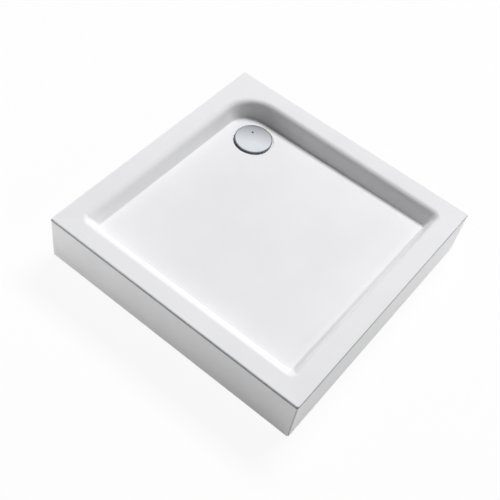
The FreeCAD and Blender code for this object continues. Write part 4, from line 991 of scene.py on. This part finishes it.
def makeCover(sizes):
    low, high = (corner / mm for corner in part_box("drain_cover"))
    radius = (high.x - low.x) / 2
    crown, sheet = sizes["crown"], sizes["sheet"]
    bend = (radius ** 2 + crown ** 2) / crown / 2  # radius of the dome's sphere
    side = high.z - crown

    def dome(x, drop=0.0):
        return high.z - bend + math.sqrt((bend - drop) ** 2 - x ** 2)

    inner = radius - sheet
    corner = Vector((radius, side))
    inward = Vector((-1, crown * 2 / radius))
    edge = arc(corner, inward, Vector((0, -1)), sizes["edgeRounding"], 8)
    outline = [(edge[0].x * share / 14, dome(edge[0].x * share / 14)) for share in range(14)]
    outline += [tuple(point) for point in edge]
    outline += [
        (radius, low.z + 0.4), (radius - 0.3, low.z), (inner + 0.3, low.z), (inner, low.z + 0.4),
    ]
    innerCorner = Vector((inner, dome(inner, sheet)))
    inside = arc(innerCorner, Vector((0, -1)), inward, sizes["innerRounding"], 4)
    outline += [tuple(point) for point in inside]
    last = inside[-1].x
    outline += [(last * share / 10, dome(last * share / 10, sheet)) for share in range(9, -1, -1)]
    cover = lathe("drainCover", outline, chromePlate, (drain.x, drain.y, 0), steps=128, sharp=40)

    offset = sizes["holeOffset"] / math.sqrt(2)
    hole, chamfer = sizes["hole"], sizes["chamfer"]
    top = dome(sizes["holeOffset"])
    mouth = hole + chamfer * 2
    cutterOutline = [
        (0, low.z - 2), (hole, low.z - 2), (hole, top - chamfer), (mouth, top + chamfer),
        (mouth, top + 2), (0, top + 2),
    ]
    place = (drain.x - offset, drain.y + offset, 0)
    cutter = lathe("holeCutter", cutterOutline, chromePlate, place, steps=32)
    cut = cover.modifiers.new("liftingHole", "BOOLEAN")
    cut.object = cutter
    cut.operation = "DIFFERENCE"
    cut.solver = "EXACT"
    applied(cover)
    bpy.data.objects.remove(cutter)
    levelNormals(cover)
    return fitted(cover, "cover", "chrome_plate", "drain_cover")


makeCover(coverSizes)
print("drain cover turned")


# floor, light and camera

studio = {
    "floorSize": 40,  # metres
    "floorColour": "#F2F2F2",
    "floorShine": 0.92,  # share of the floor's own white in the picture
    "skyColour": "#FFFFFF",
    "skyStrength": 0.0,  # what the sky adds to the lamps
}
lamps = {
    # turn from the back towards the right and rise in degrees, distance and size in metres, power
    # in watts; the two low ones light the panels
    "backLamp": {"turn": 0, "rise": 50, "distance": 16, "size": (8, 4), "power": 2824},
    "rightLamp": {"turn": 90, "rise": 30, "distance": 15, "size": (8, 5), "power": 185},
    "backLeftLamp": {"turn": -45, "rise": 30, "distance": 15, "size": (8, 5), "power": 66},
    "backRightLamp": {"turn": 45, "rise": 30, "distance": 15, "size": (8, 5), "power": 30},
    "lowFrontLamp": {"turn": -135, "rise": 4, "distance": 2.4, "size": (2, 0.35), "power": 20.6},
    "lowEndLamp": {"turn": 58, "rise": -1, "distance": 1.25, "size": (0.6, 0.14), "power": 1.2},
}
cameraSizes = {
    # the picture's middle looks at this point of the rim's plane, in millimetres
    "target": (35.7, -121.4, 155),
    "distance": 2297,
    "azimuth": 29.25,
    "elevation": 52.23,
    "roll": 11.7,
    "lens": 64.13,
    "sensor": 36,
}


def seenRays(tree):  # 1 for rays that look at a thing, 0 for those that gather light from it
    path = addNode(tree, "ShaderNodeLightPath").outputs
    seen = calculated(tree, "MAXIMUM", path["Is Camera Ray"], path["Is Glossy Ray"])
    return calculated(tree, "MAXIMUM", seen, path["Is Transmission Ray"])


def makeFloor():
    size = studio["floorSize"] / 2
    bm = bmesh.new()
    corners = ((-1, -1), (1, -1), (1, 1), (-1, 1))
    bm.faces.new([bm.verts.new((x * size, y * size, 0)) for x, y in corners])
    material = bpy.data.materials.new("studioFloor")
    material.use_nodes = True
    material.cycles.emission_sampling = "NONE"  # its white is only seen, it lights nothing
    tree = material.node_tree
    tree.nodes.clear()
    matt = addNode(tree, "ShaderNodeBsdfDiffuse", {}, {"Color": linear(studio["floorColour"])})
    white = addNode(tree, "ShaderNodeEmission", {}, {"Color": linear("#FFFFFF"), "Strength": 1.0})
    share = calculated(tree, "MULTIPLY", seenRays(tree), studio["floorShine"])
    mixed = addNode(tree, "ShaderNodeMixShader", {}, {
        "Fac": share, 1: matt.outputs["BSDF"], 2: white.outputs["Emission"],
    })
    addNode(tree, "ShaderNodeOutputMaterial", {}, {"Surface": mixed.outputs["Shader"]})
    newObject("studioFloor", bm, material)


def makeSky():
    world = bpy.data.worlds.new("studioSky")
    scene.world = world
    world.use_nodes = True
    tree = world.node_tree
    tree.nodes.clear()
    dim = addNode(tree, "ShaderNodeBackground", {}, {
        "Color": linear(studio["skyColour"]), "Strength": studio["skyStrength"],
    })
    white = addNode(tree, "ShaderNodeBackground", {}, {"Color": linear("#FFFFFF"), "Strength": 1.0})
    mixed = addNode(tree, "ShaderNodeMixShader", {}, {
        "Fac": seenRays(tree), 1: dim.outputs["Background"], 2: white.outputs["Background"],
    })
    addNode(tree, "ShaderNodeOutputWorld", {}, {"Surface": mixed.outputs["Shader"]})


def makeLamps():
    middle = Vector((0, 0, 0.1))
    for name, lamp in lamps.items():
        turn, rise = math.radians(lamp["turn"]), math.radians(lamp["rise"])
        level = math.cos(rise)
        towards = Vector((math.sin(turn) * level, math.cos(turn) * level, math.sin(rise)))
        data = bpy.data.lights.new(name, "AREA")
        data.shape = "RECTANGLE"
        data.size, data.size_y = lamp["size"]
        data.energy = lamp["power"]
        light = bpy.data.objects.new(name, data)
        light.location = middle + towards * lamp["distance"]
        light.rotation_euler = towards.to_track_quat("Z", "Y").to_euler()
        light.visible_glossy = False  # the white studio is what gloss shows
        light.visible_camera = False
        scene.collection.objects.link(light)


def makeCamera(sizes):
    data = bpy.data.cameras.new("camera")
    data.lens = sizes["lens"]
    data.sensor_width = sizes["sensor"]
    turn = (
        Matrix.Rotation(math.radians(sizes["azimuth"]), 4, "Z")
        @ Matrix.Rotation(math.radians(90 - sizes["elevation"]), 4, "X")
        @ Matrix.Rotation(math.radians(sizes["roll"]), 4, "Z")
    )
    camera = bpy.data.objects.new("camera", data)
    back = turn.to_3x3() @ Vector((0, 0, 1))
    place = (Vector(sizes["target"]) + back * sizes["distance"]) * mm
    camera.matrix_world = Matrix.Translation(place) @ turn
    scene.collection.objects.link(camera)
    bpy.context.scene.camera = camera


makeFloor()
makeSky()
makeLamps()
makeCamera(cameraSizes)
scene.view_settings.view_transform = "Standard"
print("studio lit")
